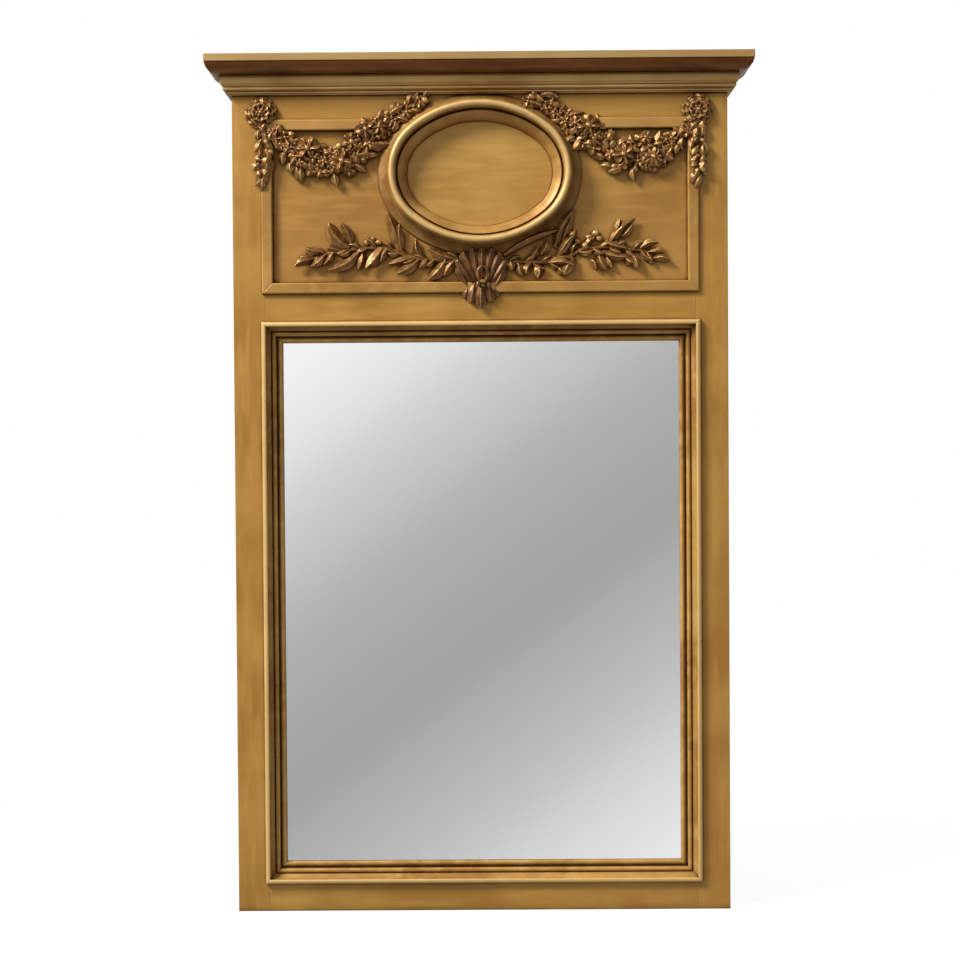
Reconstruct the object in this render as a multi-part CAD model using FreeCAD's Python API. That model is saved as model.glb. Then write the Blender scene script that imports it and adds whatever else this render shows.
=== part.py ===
"""A trumeau mirror: a tall gilt wall mirror with a carved frieze under a moulded cornice.

Units are millimetres. The back rests on the wall plane y = 0 and the front faces -Y.
The origin is the bottom centre of the back, with +Z up and +X to the right seen from the front.
Heights written as "rise" are measured forward from the front face of the flat face frame.
"""
import FreeCAD, Part
import math
import os

# ---------------------------------------------------------------- driving dimensions
SIGHT_W = 756.0            # visible width of the mirror plate
SIGHT_H = 994.0            # visible height of the mirror plate
MOULD_W = 39.0             # glass moulding, sight edge to its outer edge
STILE_SHOWS = 53.0         # visible width of each stile beside the glass moulding
BOTTOM_SHOWS = 53.0        # visible height of the bottom rail
MIDDLE_SHOWS = 53.0        # visible height of the rail between plate and frieze
FRIEZE_H = 330.0           # height of the frieze over its raised band
TOP_SHOWS = 46.0           # frieze band to the cornice
FACE_T = 20.0              # thickness of the face-frame boards
BACK_T = 28.0              # depth of the back frame behind them
FIT = 0.2                  # gap round a tenon, a panel or a moulding in its opening
DIAGONAL = math.sqrt(0.5)  # share of a radius reached half way round a quarter turn

# ---------------------------------------------------------------- cornice
CORNICE_H = 69.0           # whole cornice, cap board included
CAP_T = 14.0               # cap board, whose edge is the top fascia
CAP_OUT = 45.0             # how far the cap stands out from the body, front and sides
OVOLO_R = 19.5             # quarter round under the cap
OVOLO_STEP = 1.0           # set-back of the quarter round under the cap's edge
BED_OUT = 19.5             # how far the bed moulding's fillet stands out
BED_FILLET_H = 17.0
BED_FILLET_EDGE = 2.5      # rounding under the fillet
BED_FILLET_GAP = 5.5       # groove under the fillet
BED_BEAD_H = 5.0           # large bead on the slope
BED_BEAD_OUT = 1.5         # its stand-out from the slope
BED_PIN_BEAD_H = 3.5       # thin bead below it
BED_PIN_BEAD_OUT = 1.2
BED_QUIRK = 2.0            # groove above the thin bead
BED_FOOT_OUT = 6.0         # stand-out of the bed moulding's bottom edge

# ---------------------------------------------------------------- glass moulding and slip
MOULD_LAP = 8.0            # how far its nose laps over the face frame
NOSE_RISE = 10.0           # top of the outer nose
NOSE_SIDE = 2.0            # straight outer wall of the nose
NOSE_SHOULDER = 1.0        # inner edge of the nose, below its top
NOSE_W = 9.0
NOSE_TOP = 0.6             # place of its top, in from the outer edge, as a share of its width
BEAD_W = 9.5               # bead inside the hollow
BEAD_RISE = -5.0
HOLLOW_STEP = 0.5          # flat between the bead and the hollow
HOLLOW_FOOT_RISE = -7.0    # where the hollow meets the bead
HOLLOW_SAG = 3.0           # depth of the hollow below its chord
QUIRK_W = 2.5              # groove between the bead and the slip
QUIRK_RISE = -13.0         # its floor
SLIP_W = 10.0               # narrow slip between the moulding and the plate
SLIP_RISE = -10.0          # its crown
SLIP_EDGE_RISE = -14.0     # its thin sight edge
SLIP_CROWN = 0.45          # place of the crown, as a share of the slip's width
SLIP_ROUND = 1.5           # rounding of its outer edge
SLIP_EDGE_DROP = 2.0       # outer edge below the crown
GLASS_T = 4.0
GLASS_LAP = 7.0            # how far the plate runs behind the slip
BACK_BOARD_T = 6.0
BACK_BOARD_LAP = 30.0      # how far the back board runs past the sight edge

# ---------------------------------------------------------------- frieze
FRIEZE_BEAD_W = 21.0       # flat band that frames the frieze
FRIEZE_BEAD_RISE = 6.5
FRIEZE_BEAD_ROUND = 3.0
BAND_LAP = 6.0             # how far the band laps over the face frame
PANEL_T = 9.0
PANEL_SINK = 4.0           # panel surface behind the face of the frame
PANEL_TONGUE = 8.0         # how far the panel runs into the rebate behind the frame

# ---------------------------------------------------------------- oval frame
OVAL_A = 138.5             # half width of the field inside the oval
OVAL_B = 100.0             # half height of the field
OVAL_LIFT = 226.0          # lower edge of the frieze band to the oval's centre
OVAL_SIDE_CENTRE = 60.0    # centre of the small side arcs, out from the middle
RING_INNER_W = 20.0        # width of the inner lip
RING_OUTER_W = 34.0        # width of the crest and its outer slope
RING_RISE = 32.0           # crest above the face frame
CREST_INNER_DROP = 9.0     # inner wall of the crest, below its top
CREST_ROUND = 2.5          # turn from that wall to the top
CREST_TOP_AT = 7.5         # top of the crest, out from its inner wall
CREST_TURN_AT = 13.0       # where its outer side turns down
CREST_TURN_DROP = 2.0
CREST_W = 14.5             # inner wall to the foot of the outer side
CREST_OUTER_DROP = 7.5
SLOPE_AT = 16.0            # start of the hollow outer slope
SLOPE_DROP = 8.5
SLOPE_HOLLOW_AT = 21.0     # deepest part of that slope
SLOPE_HOLLOW = 0.3         # its height there, as a share of the crest's
LIP_RISE = 18.0
LIP_STEP = 4.0             # outer edge of the lip, below its top
# Points of the lip, as shares of its width and of its height.
LIP_FOOT = (0.0, 0.15)
LIP_TURN = (0.4, 0.7)
LIP_TOP = (0.8, 1.0)
LIP_EDGE = 0.88
PLAQUE_T = 4.0
PLAQUE_CORE = 0.6          # half height of the plaque's core, as a share of the field's

# ---------------------------------------------------------------- face and back frame joints
TENON_T = 8.0
TENON_L = 30.0
TENON_SHOULDER = 8.0       # edge of a rail to the edge of its tenon
MORTISE_SPARE = 1.0        # mortise deeper than the tenon
PEG_R = 4.0
PEG_L = 17.0
PEG_IN = 13.0              # peg axis, in from the stile's inner edge
PEG_SPREAD = 0.5           # distance between two pegs, as a share of the tenon's width
BATTEN_W = 40.0            # bars of the back frame
HANG_RAIL_W = 80.0
HANG_RAIL_T = 16.0
HANG_RAIL_DROP = 269.0     # top of the frame to the hanging rail's centre line

# ---------------------------------------------------------------- screws
SCREW_R = 2.0
SCREW_HEAD_R = 4.0
SCREW_HEAD_H = 2.6
SCREW_BITE = 14.0          # length in the wood beyond the screwed piece
HOLE_GAP = 0.1             # radial gap between a screw and its hole
SMALL_SCREW_R = 1.5
SMALL_HEAD_R = 3.2
SMALL_HEAD_H = 1.8
SMALL_BITE = 9.0
SIDE_SCREWS = 5            # along each side bar
CROSS_SCREWS = 3           # along the top and bottom bars
RAIL_SCREWS = 3            # in each end of the hanging rail
BOARD_SCREWS_X = 3         # along each short side of the back board
BOARD_SCREWS_Z = 4         # along each long side of the back board
SCREW_END = 60.0           # first and last screw, in from the bar's end

# ---------------------------------------------------------------- plate chocks
CHOCK_L = 40.0
CHOCKS_X = 2
CHOCKS_Z = 3
CHOCK_INSET = 126.0        # first and last chock, in from the plate's corner

# ---------------------------------------------------------------- ring hangers on the back
HANGER_IN = 170.0          # each hanger, in from the body's edge
STRAP_T = 1.5
STRAP_W = 18.0
STRAP_L = 46.0
RING_WIRE_R = 2.0
RING_HALF_W = 14.0         # wire centre line of the D ring
RING_STRAIGHT = 8.0        # straight sides before the ring's round end
KNUCKLE_GAP = 0.05         # running gap between ring wire and strap knuckle
RING_CLEAR = 0.3           # ring wire to strap plate
KNUCKLE_W = 16.0
STRAP_SCREWS = 2
STRAP_SCREW_PITCH = 18.0
STRAP_SCREW_END = 8.0      # lower screw, up from the strap's end
STRAP_SCREW_L = 12.0

# ---------------------------------------------------------------- carved ornament
LEAF_RIM = 1.6             # thickness at a leaf's edge
LEAF_RISE = 8.0            # leaf midrib above the ground it stands on
RIB_OVER_RIM = 1.2         # lowest midrib, as a share of the rim
TIP_WIDTH = 0.06           # a pointed tip, as shares of the leaf's width and rise
TIP_RISE = 0.3
BLUNT_RISE = 0.5           # a blunt tip, as a share of the leaf's rise
STEM_RISE = 4.5
KNOB_WIDTH = 1.25          # knob at a stem's bend, as shares of the stem's
KNOB_RISE = 1.2
BUD_SHARE = 0.9            # height of a bud as a share of its radius
PETALS = 6
HEART_SHARE = 0.42         # heart of a flower, as a share of its radius
PETAL_FILL = 0.8           # petal width, as a share of its part of the circle
PETAL_RISE = 0.75          # petals, as a share of the flower's rise
PETAL_TIP = 0.5            # blunt end of a petal, as a share of its width
SWAG_LEAF_RISE = 12.0
SWAG_FLOWER_RISE = 18.0
SWAG_BUD_RISE = 8.0        # ground of the buds, above the panel
ROSETTE_R = 32.0
ROSETTE_RISE = 14.0
ROSETTE_DISC = 0.86        # disc under the petals, as a share of the radius
ROSETTE_DISC_RISE = 7.0
ROSETTE_IN = 56.5          # rosette centre, in from the body's edge
ROSETTE_GAP = 2.0          # rosette to the underside of the cornice
DROP_L = 116.0             # pendant under each rosette
DROP_W = 44.0
DROP_TIERS = 4
DROP_SPINE = 0.6           # widths of its parts, as shares of the pendant's
DROP_LEAF = 0.4
DROP_REACH = 0.46
DROP_NARROW = 0.75         # top tier against the widest one
DROP_TIER_LAP = 1.35       # length of a tier's leaves, as a share of the step between tiers
DROP_LEAF_RISE = 12.0
CARTOUCHE_RIBS = 7
CARTOUCHE_RISE = 16.0
RIB_W = 17.0
RIB_RISE = 14.4
RIB_TIP = 0.4              # blunt end of a rib, as a share of its width
SIDE_RIB_LIFT = 18.0       # how far the level ribs end above the heart
HEART_R = 20.0             # round heart of the cartouche, in two steps
HEART_STEP_R = 10.0
HEART_RISE = 12.8
LOBE_W = 22.0              # width and spacing of the three lobes at its foot
LOBE_TIP = 0.3
LOBE_LIFT = 12.0           # side lobes end above the middle one

# ---------------------------------------------------------------- derived planes and edges
FACE = BACK_T + FACE_T                  # front face of the face frame, as -y
PANEL_FACE = FACE - PANEL_SINK
BODY_X = SIGHT_W / 2 + MOULD_W + STILE_SHOWS
SIGHT_Z = BOTTOM_SHOWS + MOULD_W        # bottom edge of the visible plate
FRIEZE_LOW = SIGHT_Z + SIGHT_H + MOULD_W + MIDDLE_SHOWS
BAND_TOP = FRIEZE_LOW + FRIEZE_H
CORNICE_Z = BAND_TOP + TOP_SHOWS
TOTAL_H = CORNICE_Z + CORNICE_H
FRAME_TOP = TOTAL_H - CAP_T
OPENING_X = SIGHT_W / 2 + MOULD_W - MOULD_LAP
GLASS_OPEN_LOW = SIGHT_Z - MOULD_W + MOULD_LAP
GLASS_OPEN_TOP = SIGHT_Z + SIGHT_H + MOULD_W - MOULD_LAP
BAND_X = OPENING_X + BAND_LAP           # outer edges of the frieze band
FRIEZE_OPEN_LOW = FRIEZE_LOW + BAND_LAP
FRIEZE_OPEN_TOP = BAND_TOP - BAND_LAP
OVAL_Z = FRIEZE_LOW + OVAL_LIFT
HANG_RAIL_Z = FRAME_TOP - HANG_RAIL_DROP
ROSETTE_X = BODY_X - ROSETTE_IN
HANGER_X = BODY_X - HANGER_IN
ROSETTE_Z = CORNICE_Z - ROSETTE_GAP - ROSETTE_R
GLASS_FACE = BACK_T + GLASS_T           # front of the plate, as -y
GLASS_RISE = GLASS_FACE - FACE          # the same plane as a rise, below the face
BACK_RISE = BACK_T - FACE               # back of the face frame as a rise
SPARE = 5.0                             # how far a cutting tool runs past what it cuts


def vec(x, y, z):
    return FreeCAD.Vector(x, y, z)


def box(x, y, z):
    """A box from three (low, high) pairs."""
    return Part.makeBox(x[1] - x[0], y[1] - y[0], z[1] - z[0], vec(x[0], y[0], z[0]))


def section(steps, place):
    """A face from steps in a plane; a step is a point, or (mid, end) of an arc."""
    edges = []
    last = start = place(*steps[0])
    for step in steps[1:]:
        if isinstance(step[0], tuple):
            middle, end = place(*step[0]), place(*step[1])
            edges.append(Part.Arc(last, middle, end).toShape())
        else:
            end = place(*step)
            edges.append(Part.LineSegment(last, end).toShape())
        last = end
    if not last.isEqual(start, 1e-6):
        edges.append(Part.LineSegment(last, start).toShape())
    return Part.Face(Part.Wire(edges))


def prism(points, direction):
    corners = points + points[:1]
    return Part.Face(Part.makePolygon(corners)).extrude(direction)


def union(shapes):
    return shapes[0].multiFuse(shapes[1:]).removeSplitter() if len(shapes) > 1 else shapes[0]


def cylinder(radius, length, start, direction):
    return Part.makeCylinder(radius, length, start, direction)


def mirrored(shape):
    return shape.mirror(vec(0, 0, 0), vec(1, 0, 0))


# ================================================================ framed mouldings
def frame_side(steps, side, half_w, low, high, reach):
    """One mitred side of a rectangular frame, its section given as (outward, rise)."""
    corners = {"left": (-half_w, low, -half_w, high), "right": (half_w, high, half_w, low),
               "top": (-half_w, high, half_w, high), "bottom": (half_w, low, -half_w, low)}
    out = {"left": (-1, 0), "right": (1, 0), "top": (0, 1), "bottom": (0, -1)}[side]
    x0, z0, x1, z1 = corners[side]
    run = vec(x1 - x0, 0, z1 - z0)
    step_back = vec(run.x, 0, run.z).normalize() * reach
    start = vec(x0, 0, z0) - step_back

    def place(outward, rise):
        return start + vec(out[0] * outward, -(FACE + rise), out[1] * outward)

    bar = section(steps, place).extrude(run + step_back * 2)
    inner_a, inner_b = vec(x0, SPARE, z0), vec(x1, SPARE, z1)
    outward = vec(out[0], 0, out[1]) * reach
    outline = [inner_a, inner_b, inner_b + outward + step_back, inner_a + outward - step_back]
    depth = FACE + RING_RISE + SPARE * 2
    return bar.common(prism(outline, vec(0, -depth, 0)))


def glass_moulding_section():
    """Outer nose over the face frame, a hollow, a bead and a groove, back to the frame's back."""
    nose_in = MOULD_W - NOSE_W
    quirk_out = SLIP_W + QUIRK_W
    bead_out = quirk_out + BEAD_W
    bead_foot = BEAD_RISE - BEAD_W / 2
    hollow_in = bead_out + HOLLOW_STEP
    shoulder = NOSE_RISE - NOSE_SHOULDER
    sag = HOLLOW_SAG * DIAGONAL
    deepest = ((hollow_in + nose_in) / 2 + sag, (HOLLOW_FOOT_RISE + shoulder) / 2 - sag)
    seat = MOULD_W - MOULD_LAP - FIT
    return [(SLIP_W, BACK_RISE), (SLIP_W, QUIRK_RISE), (quirk_out, QUIRK_RISE), (quirk_out, bead_foot),
            ((quirk_out + BEAD_W / 2, BEAD_RISE), (bead_out, bead_foot)),
            (hollow_in, HOLLOW_FOOT_RISE), (deepest, (nose_in, shoulder)),
            ((MOULD_W - NOSE_W * NOSE_TOP, NOSE_RISE), (MOULD_W, NOSE_SIDE)),
            (MOULD_W, 0), (seat, 0), (seat, BACK_RISE)]


def slip_section():
    """Thin rounded slip whose back bears on the plate."""
    return [(0, GLASS_RISE), (0, SLIP_EDGE_RISE),
            ((SLIP_W * SLIP_CROWN, SLIP_RISE), (SLIP_W - SLIP_ROUND, SLIP_RISE - SLIP_ROUND)),
            (SLIP_W, SLIP_RISE - SLIP_EDGE_DROP), (SLIP_W, GLASS_RISE)]


def frieze_band_section():
    """Flat band with rounded edges, part on the panel and part on the face frame."""
    edge = FRIEZE_BEAD_RISE - FRIEZE_BEAD_ROUND
    turn = FRIEZE_BEAD_ROUND * (1 - DIAGONAL)
    width = FRIEZE_BEAD_W
    foot = width - BAND_LAP - FIT
    return [(0, -PANEL_SINK), (0, edge),
            ((turn, FRIEZE_BEAD_RISE - turn), (FRIEZE_BEAD_ROUND, FRIEZE_BEAD_RISE)),
            (width - FRIEZE_BEAD_ROUND, FRIEZE_BEAD_RISE),
            ((width - turn, FRIEZE_BEAD_RISE - turn), (width, edge)),
            (width, 0), (foot, 0), (foot, -PANEL_SINK)]


def glass_mouldings():
    parts = {}
    low, high = SIGHT_Z, SIGHT_Z + SIGHT_H
    for side in ("left", "right", "top", "bottom"):
        parts["glass_moulding_" + side] = frame_side(glass_moulding_section(), side,
                                                     SIGHT_W / 2, low, high, MOULD_W + SPARE)
        parts["sight_slip_" + side] = frame_side(slip_section(), side,
                                                 SIGHT_W / 2, low, high, SLIP_W + SPARE)
    return parts


def frieze_bands(oval_footprint):
    """The side and bottom bands, and the top band in two lengths that stop at the oval."""
    half_w = BAND_X - FRIEZE_BEAD_W
    low, high = FRIEZE_LOW + FRIEZE_BEAD_W, BAND_TOP - FRIEZE_BEAD_W
    parts = {}
    for side in ("left", "right", "bottom"):
        parts["frieze_band_" + side] = frame_side(frieze_band_section(), side,
                                                  half_w, low, high, FRIEZE_BEAD_W + SPARE)
    top = frame_side(frieze_band_section(), "top", half_w, low, high, FRIEZE_BEAD_W + SPARE)
    lengths = sorted(top.cut(oval_footprint).Solids, key=lambda s: s.CenterOfMass.x)
    parts["frieze_band_top_left"] = lengths[0]
    parts["frieze_band_top_right"] = lengths[-1]
    return parts


# ================================================================ cornice
def cornice_run(steps, side):
    """Front run or side return of a cornice moulding, its section given as (out, z)."""
    reach = CAP_OUT + SPARE
    front = -FACE
    if side == "front":
        face = section(steps, lambda out, z: vec(-BODY_X - reach, front - out, z))
        bar = face.extrude(vec((BODY_X + reach) * 2, 0, 0))
        outline = [(-BODY_X, front), (BODY_X, front),
                   (BODY_X + reach, front - reach), (-BODY_X - reach, front - reach)]
    else:
        face = section(steps, lambda out, z: vec(BODY_X + out, 0, z))
        bar = face.extrude(vec(0, front - reach, 0))
        outline = [(BODY_X, 0), (BODY_X, front),
                   (BODY_X + reach, front - reach), (BODY_X + reach, 0)]
    corners = [vec(x, y, CORNICE_Z - SPARE) for x, y in outline]
    run = bar.common(prism(corners, vec(0, 0, CORNICE_H + SPARE * 2)))
    return mirrored(run) if side == "left" else run


def ovolo_section():
    out = CAP_OUT - OVOLO_STEP
    centre = out - OVOLO_R
    turn = OVOLO_R * DIAGONAL
    low = FRAME_TOP - OVOLO_R
    return [(0, FRAME_TOP), (out, FRAME_TOP),
            ((centre + turn, FRAME_TOP - turn), (centre, low)), (0, low)]


def bed_section():
    """Fillet, then a slope with a large and a thin bead, down to the frieze."""
    top = FRAME_TOP - OVOLO_R
    fillet_low = top - BED_FILLET_H
    slope_h = fillet_low - CORNICE_Z
    lean = (BED_OUT - BED_FOOT_OUT) / slope_h

    def out_at(z):
        return BED_FOOT_OUT + (z - CORNICE_Z) * lean

    bead_top = fillet_low - BED_FILLET_GAP
    bead_low = bead_top - BED_BEAD_H
    pin_top = bead_low - BED_QUIRK
    pin_low = pin_top - BED_PIN_BEAD_H
    edge = BED_FILLET_EDGE
    turn = edge * (1 - DIAGONAL)
    steps = [(0, top), (BED_OUT, top), (BED_OUT, fillet_low + edge),
             ((BED_OUT - turn, fillet_low + turn), (BED_OUT - edge, fillet_low)),
             (out_at(bead_top) - BED_QUIRK, bead_top + BED_QUIRK / 2)]
    for high, low, stand in ((bead_top, bead_low, BED_BEAD_OUT), (pin_top, pin_low, BED_PIN_BEAD_OUT)):
        middle = (high + low) / 2
        steps.append((out_at(high) - BED_QUIRK / 2, high))
        steps.append(((out_at(middle) + stand, middle), (out_at(low) - BED_QUIRK / 2, low)))
    return steps + [(BED_FOOT_OUT, CORNICE_Z), (0, CORNICE_Z)]


def cornice():
    parts = {"cap_board": box((-BODY_X - CAP_OUT, BODY_X + CAP_OUT), (-FACE - CAP_OUT, 0),
                              (FRAME_TOP, TOTAL_H))}
    for side in ("front", "left", "right"):
        parts["cornice_ovolo_" + side] = cornice_run(ovolo_section(), side)
        parts["cornice_bed_" + side] = cornice_run(bed_section(), side)
    return parts


# ================================================================ oval frame
def oval_sweep(steps):
    """Sweep a section (outward, rise) round a four-centred oval with tangent arcs."""
    side = OVAL_SIDE_CENTRE
    skew = OVAL_A - OVAL_B
    drop = (2 * side * skew - skew ** 2) / (2 * (side - skew))
    swing = math.degrees(math.atan2(drop, side))
    arcs = [(side, 0, OVAL_A - side, -swing, 2 * swing),
            (0, -drop, OVAL_B + drop, swing, 180 - 2 * swing),
            (-side, 0, OVAL_A - side, 180 - swing, 2 * swing),
            (0, drop, OVAL_B + drop, 180 + swing, 180 - 2 * swing)]
    quarters = []
    for x, z, radius, start, sweep in arcs:
        centre = vec(x, 0, OVAL_Z + z)
        face = section(steps, lambda out, rise: centre + vec(radius + out, -(FACE + rise), 0))
        face.rotate(centre, vec(0, -1, 0), start)
        quarters.append(face.revolve(centre, vec(0, -1, 0), sweep))
    return union(quarters)


def oval_disc(outward, y_front, y_back):
    """A flat four-centred oval plate whose edge is `outward` from the field's edge."""
    depth = y_back - y_front
    ring = oval_sweep([(-OVAL_B / 2, -FACE - y_back), (outward, -FACE - y_back),
                       (outward, -FACE - y_front), (-OVAL_B / 2, -FACE - y_front)])
    half_w, half_h = OVAL_SIDE_CENTRE + OVAL_B / 2, OVAL_B * PLAQUE_CORE
    core = box((-half_w, half_w), (y_front, y_front + depth), (OVAL_Z - half_h, OVAL_Z + half_h))
    return union([ring, core])


def oval_outer_section():
    """Rounded crest and a hollow outer slope."""
    start = RING_INNER_W
    end = RING_INNER_W + RING_OUTER_W
    return [(start, -PANEL_SINK), (start, RING_RISE - CREST_INNER_DROP),
            ((start + CREST_ROUND, RING_RISE - CREST_ROUND), (start + CREST_TOP_AT, RING_RISE)),
            ((start + CREST_TURN_AT, RING_RISE - CREST_TURN_DROP),
             (start + CREST_W, RING_RISE - CREST_OUTER_DROP)),
            (start + SLOPE_AT, RING_RISE - SLOPE_DROP),
            ((start + SLOPE_HOLLOW_AT, RING_RISE * SLOPE_HOLLOW), (end, 0)), (end, -PANEL_SINK)]


def oval_lip_section():
    """Rounded inner lip that rises towards the crest."""
    foot, turn, top = [(RING_INNER_W * w, LIP_RISE * h) for w, h in (LIP_FOOT, LIP_TURN, LIP_TOP)]
    edge = LIP_RISE - LIP_STEP
    return [(0, -PANEL_SINK), foot, (turn, top), (RING_INNER_W * LIP_EDGE, edge),
            (RING_INNER_W, edge), (RING_INNER_W, -PANEL_SINK)]


def oval_frame():
    rail_face = box((-BODY_X, BODY_X), (-FACE, SPARE), (FRIEZE_OPEN_TOP, FRAME_TOP))
    cornice_space = box((-BODY_X, BODY_X), (-FACE * 3, SPARE), (CORNICE_Z, TOTAL_H))
    parts = {}
    for name, steps in (("oval_frame", oval_outer_section()), ("oval_lip", oval_lip_section())):
        parts[name] = oval_sweep(steps).cut(rail_face).cut(cornice_space)
    parts["oval_plaque"] = oval_disc(0, -PANEL_FACE - PLAQUE_T, -PANEL_FACE).cut(rail_face)
    return parts


# ================================================================ flat frame
def tenons(low, high):
    """Stub tenons on both ends of a rail, and the mortises they need."""
    z0, z1 = low + TENON_SHOULDER, high - TENON_SHOULDER
    middle = BACK_T + FACE_T / 2
    y = (-middle - TENON_T / 2, -middle + TENON_T / 2)
    tenon = box((OPENING_X, OPENING_X + TENON_L), y, (z0, z1))
    mortise = box((OPENING_X - SPARE, OPENING_X + TENON_L + MORTISE_SPARE),
                  (y[0] - FIT, y[1] + FIT), (z0 - FIT, z1 + FIT))
    return tenon, mortise


def peg_axes():
    """Where the pegs pass: two in each tenon, seen on the right stile."""
    axes = []
    for low, high in rail_bounds().values():
        spread = (high - low - 2 * TENON_SHOULDER) * PEG_SPREAD
        middle = (low + high) / 2
        axes += [(OPENING_X + PEG_IN, middle - spread / 2), (OPENING_X + PEG_IN, middle + spread / 2)]
    return axes


def rail_bounds():
    return {"bottom_rail": (0, GLASS_OPEN_LOW), "middle_rail": (GLASS_OPEN_TOP, FRIEZE_OPEN_LOW),
            "top_rail": (FRIEZE_OPEN_TOP, FRAME_TOP)}


def pegs(radius):
    shapes = []
    for x, z in peg_axes():
        for side in (-1, 1):
            shapes.append(cylinder(radius, PEG_L, vec(side * x, -BACK_T, z), vec(0, -1, 0)))
    return shapes


def face_frame():
    parts = {}
    stile = box((OPENING_X, BODY_X), (-FACE, -BACK_T), (0, FRAME_TOP))
    panel_space = box((-OPENING_X - PANEL_TONGUE, OPENING_X + PANEL_TONGUE),
                      (-PANEL_FACE, -BACK_T + SPARE),
                      (FRIEZE_OPEN_LOW - PANEL_TONGUE, FRIEZE_OPEN_TOP + PANEL_TONGUE))
    for name, (low, high) in rail_bounds().items():
        tenon, mortise = tenons(low, high)
        rail = box((-OPENING_X, OPENING_X), (-FACE, -BACK_T), (low, high))
        parts[name] = union([rail, tenon, mirrored(tenon)]).cut(panel_space)
        stile = stile.cut(mortise)
    stile = stile.cut(panel_space)
    parts["stile_right"] = stile
    parts["stile_left"] = mirrored(stile)
    holes = Part.makeCompound(pegs(PEG_R))
    for name in parts:
        parts[name] = parts[name].cut(holes)
    parts["tenon_pegs"] = Part.makeCompound(pegs(PEG_R))
    tongue = PANEL_TONGUE - FIT
    parts["frieze_panel"] = box((-OPENING_X - tongue, OPENING_X + tongue),
                                (-PANEL_FACE, -PANEL_FACE + PANEL_T),
                                (FRIEZE_OPEN_LOW - tongue, FRIEZE_OPEN_TOP + tongue))
    return parts


def back_frame():
    inner = BODY_X - BATTEN_W
    depth = (-BACK_T, 0)
    side = box((inner, BODY_X), depth, (0, FRAME_TOP))
    rail_z = (HANG_RAIL_Z - HANG_RAIL_W / 2, HANG_RAIL_Z + HANG_RAIL_W / 2)
    return {"back_side_right": side, "back_side_left": mirrored(side),
            "back_bottom_bar": box((-inner, inner), depth, (0, BATTEN_W)),
            "back_top_bar": box((-inner, inner), depth, (FRAME_TOP - BATTEN_W, FRAME_TOP)),
            "hanging_rail": box((-inner, inner), (-BACK_T, -BACK_T + HANG_RAIL_T), rail_z)}


# ================================================================ plate and back board
def plate_and_board():
    glass_x = SIGHT_W / 2 + GLASS_LAP
    glass_z = (SIGHT_Z - GLASS_LAP, SIGHT_Z + SIGHT_H + GLASS_LAP)
    board_x = SIGHT_W / 2 + BACK_BOARD_LAP
    board_z = (SIGHT_Z - BACK_BOARD_LAP, SIGHT_Z + SIGHT_H + BACK_BOARD_LAP)
    return {"mirror_plate": box((-glass_x, glass_x), (-GLASS_FACE, -BACK_T), glass_z),
            "back_board": box((-board_x, board_x), (-BACK_T, -BACK_T + BACK_BOARD_T), board_z),
            "plate_chocks": Part.makeCompound(plate_chocks(glass_x, glass_z))}


def spread(low, high, count):
    """Evenly spaced places from low to high, both ends included."""
    return [low + (high - low) * i / (count - 1) for i in range(count)]


def plate_chocks(glass_x, glass_z):
    """Small blocks between the plate's edge and the moulding, that keep it centred."""
    thick = SLIP_W - GLASS_LAP
    depth = (-GLASS_FACE, -BACK_T)
    half = CHOCK_L / 2
    blocks = []
    for x in spread(-glass_x + CHOCK_INSET, glass_x - CHOCK_INSET, CHOCKS_X):
        blocks.append(box((x - half, x + half), depth, (glass_z[0] - thick, glass_z[0])))
        blocks.append(box((x - half, x + half), depth, (glass_z[1], glass_z[1] + thick)))
    for z in spread(glass_z[0] + CHOCK_INSET, glass_z[1] - CHOCK_INSET, CHOCKS_Z):
        blocks.append(box((-glass_x - thick, -glass_x), depth, (z - half, z + half)))
        blocks.append(box((glass_x, glass_x + thick), depth, (z - half, z + half)))
    return blocks


# ================================================================ screws
def screw(x, z, head_y, radius, head_r, head_h, length, gap=0.0):
    """A countersunk screw driven forward from the plane y = head_y, head flush."""
    top = cylinder(radius + gap, length + gap, vec(x, head_y, z), vec(0, -1, 0))
    cone = Part.makeCone(head_r + gap, radius + gap, head_h, vec(x, head_y, z), vec(0, -1, 0))
    return union([top, cone])


def screw_sets():
    """Every group of screws: name, seats (x, z), head plane, sizes and screwed pieces."""
    batten_x = BODY_X - BATTEN_W / 2
    side_z = spread(SCREW_END, FRAME_TOP - SCREW_END, SIDE_SCREWS)
    frame_seats = [(sign * batten_x, z) for z in side_z for sign in (-1, 1)]
    cross_x = spread(-SIGHT_W / 2 + SCREW_END, SIGHT_W / 2 - SCREW_END, CROSS_SCREWS)
    frame_seats += [(x, z) for x in cross_x for z in (BATTEN_W / 2, FRAME_TOP - BATTEN_W / 2)]
    rail_reach = HANG_RAIL_W / 2 - PEG_IN
    rail_z = spread(HANG_RAIL_Z - rail_reach, HANG_RAIL_Z + rail_reach, RAIL_SCREWS)
    rail_seats = [(sign * (OPENING_X + PEG_IN), z) for z in rail_z for sign in (-1, 1)]
    return {
        "back_frame_screws": (frame_seats, 0.0, BACK_T,
                              ["back_side_left", "back_side_right", "back_bottom_bar",
                               "back_top_bar", "stile_left", "stile_right", "bottom_rail",
                               "top_rail"]),
        "hanging_rail_screws": (rail_seats, -BACK_T + HANG_RAIL_T, HANG_RAIL_T,
                                ["hanging_rail", "stile_left", "stile_right"])}


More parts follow.
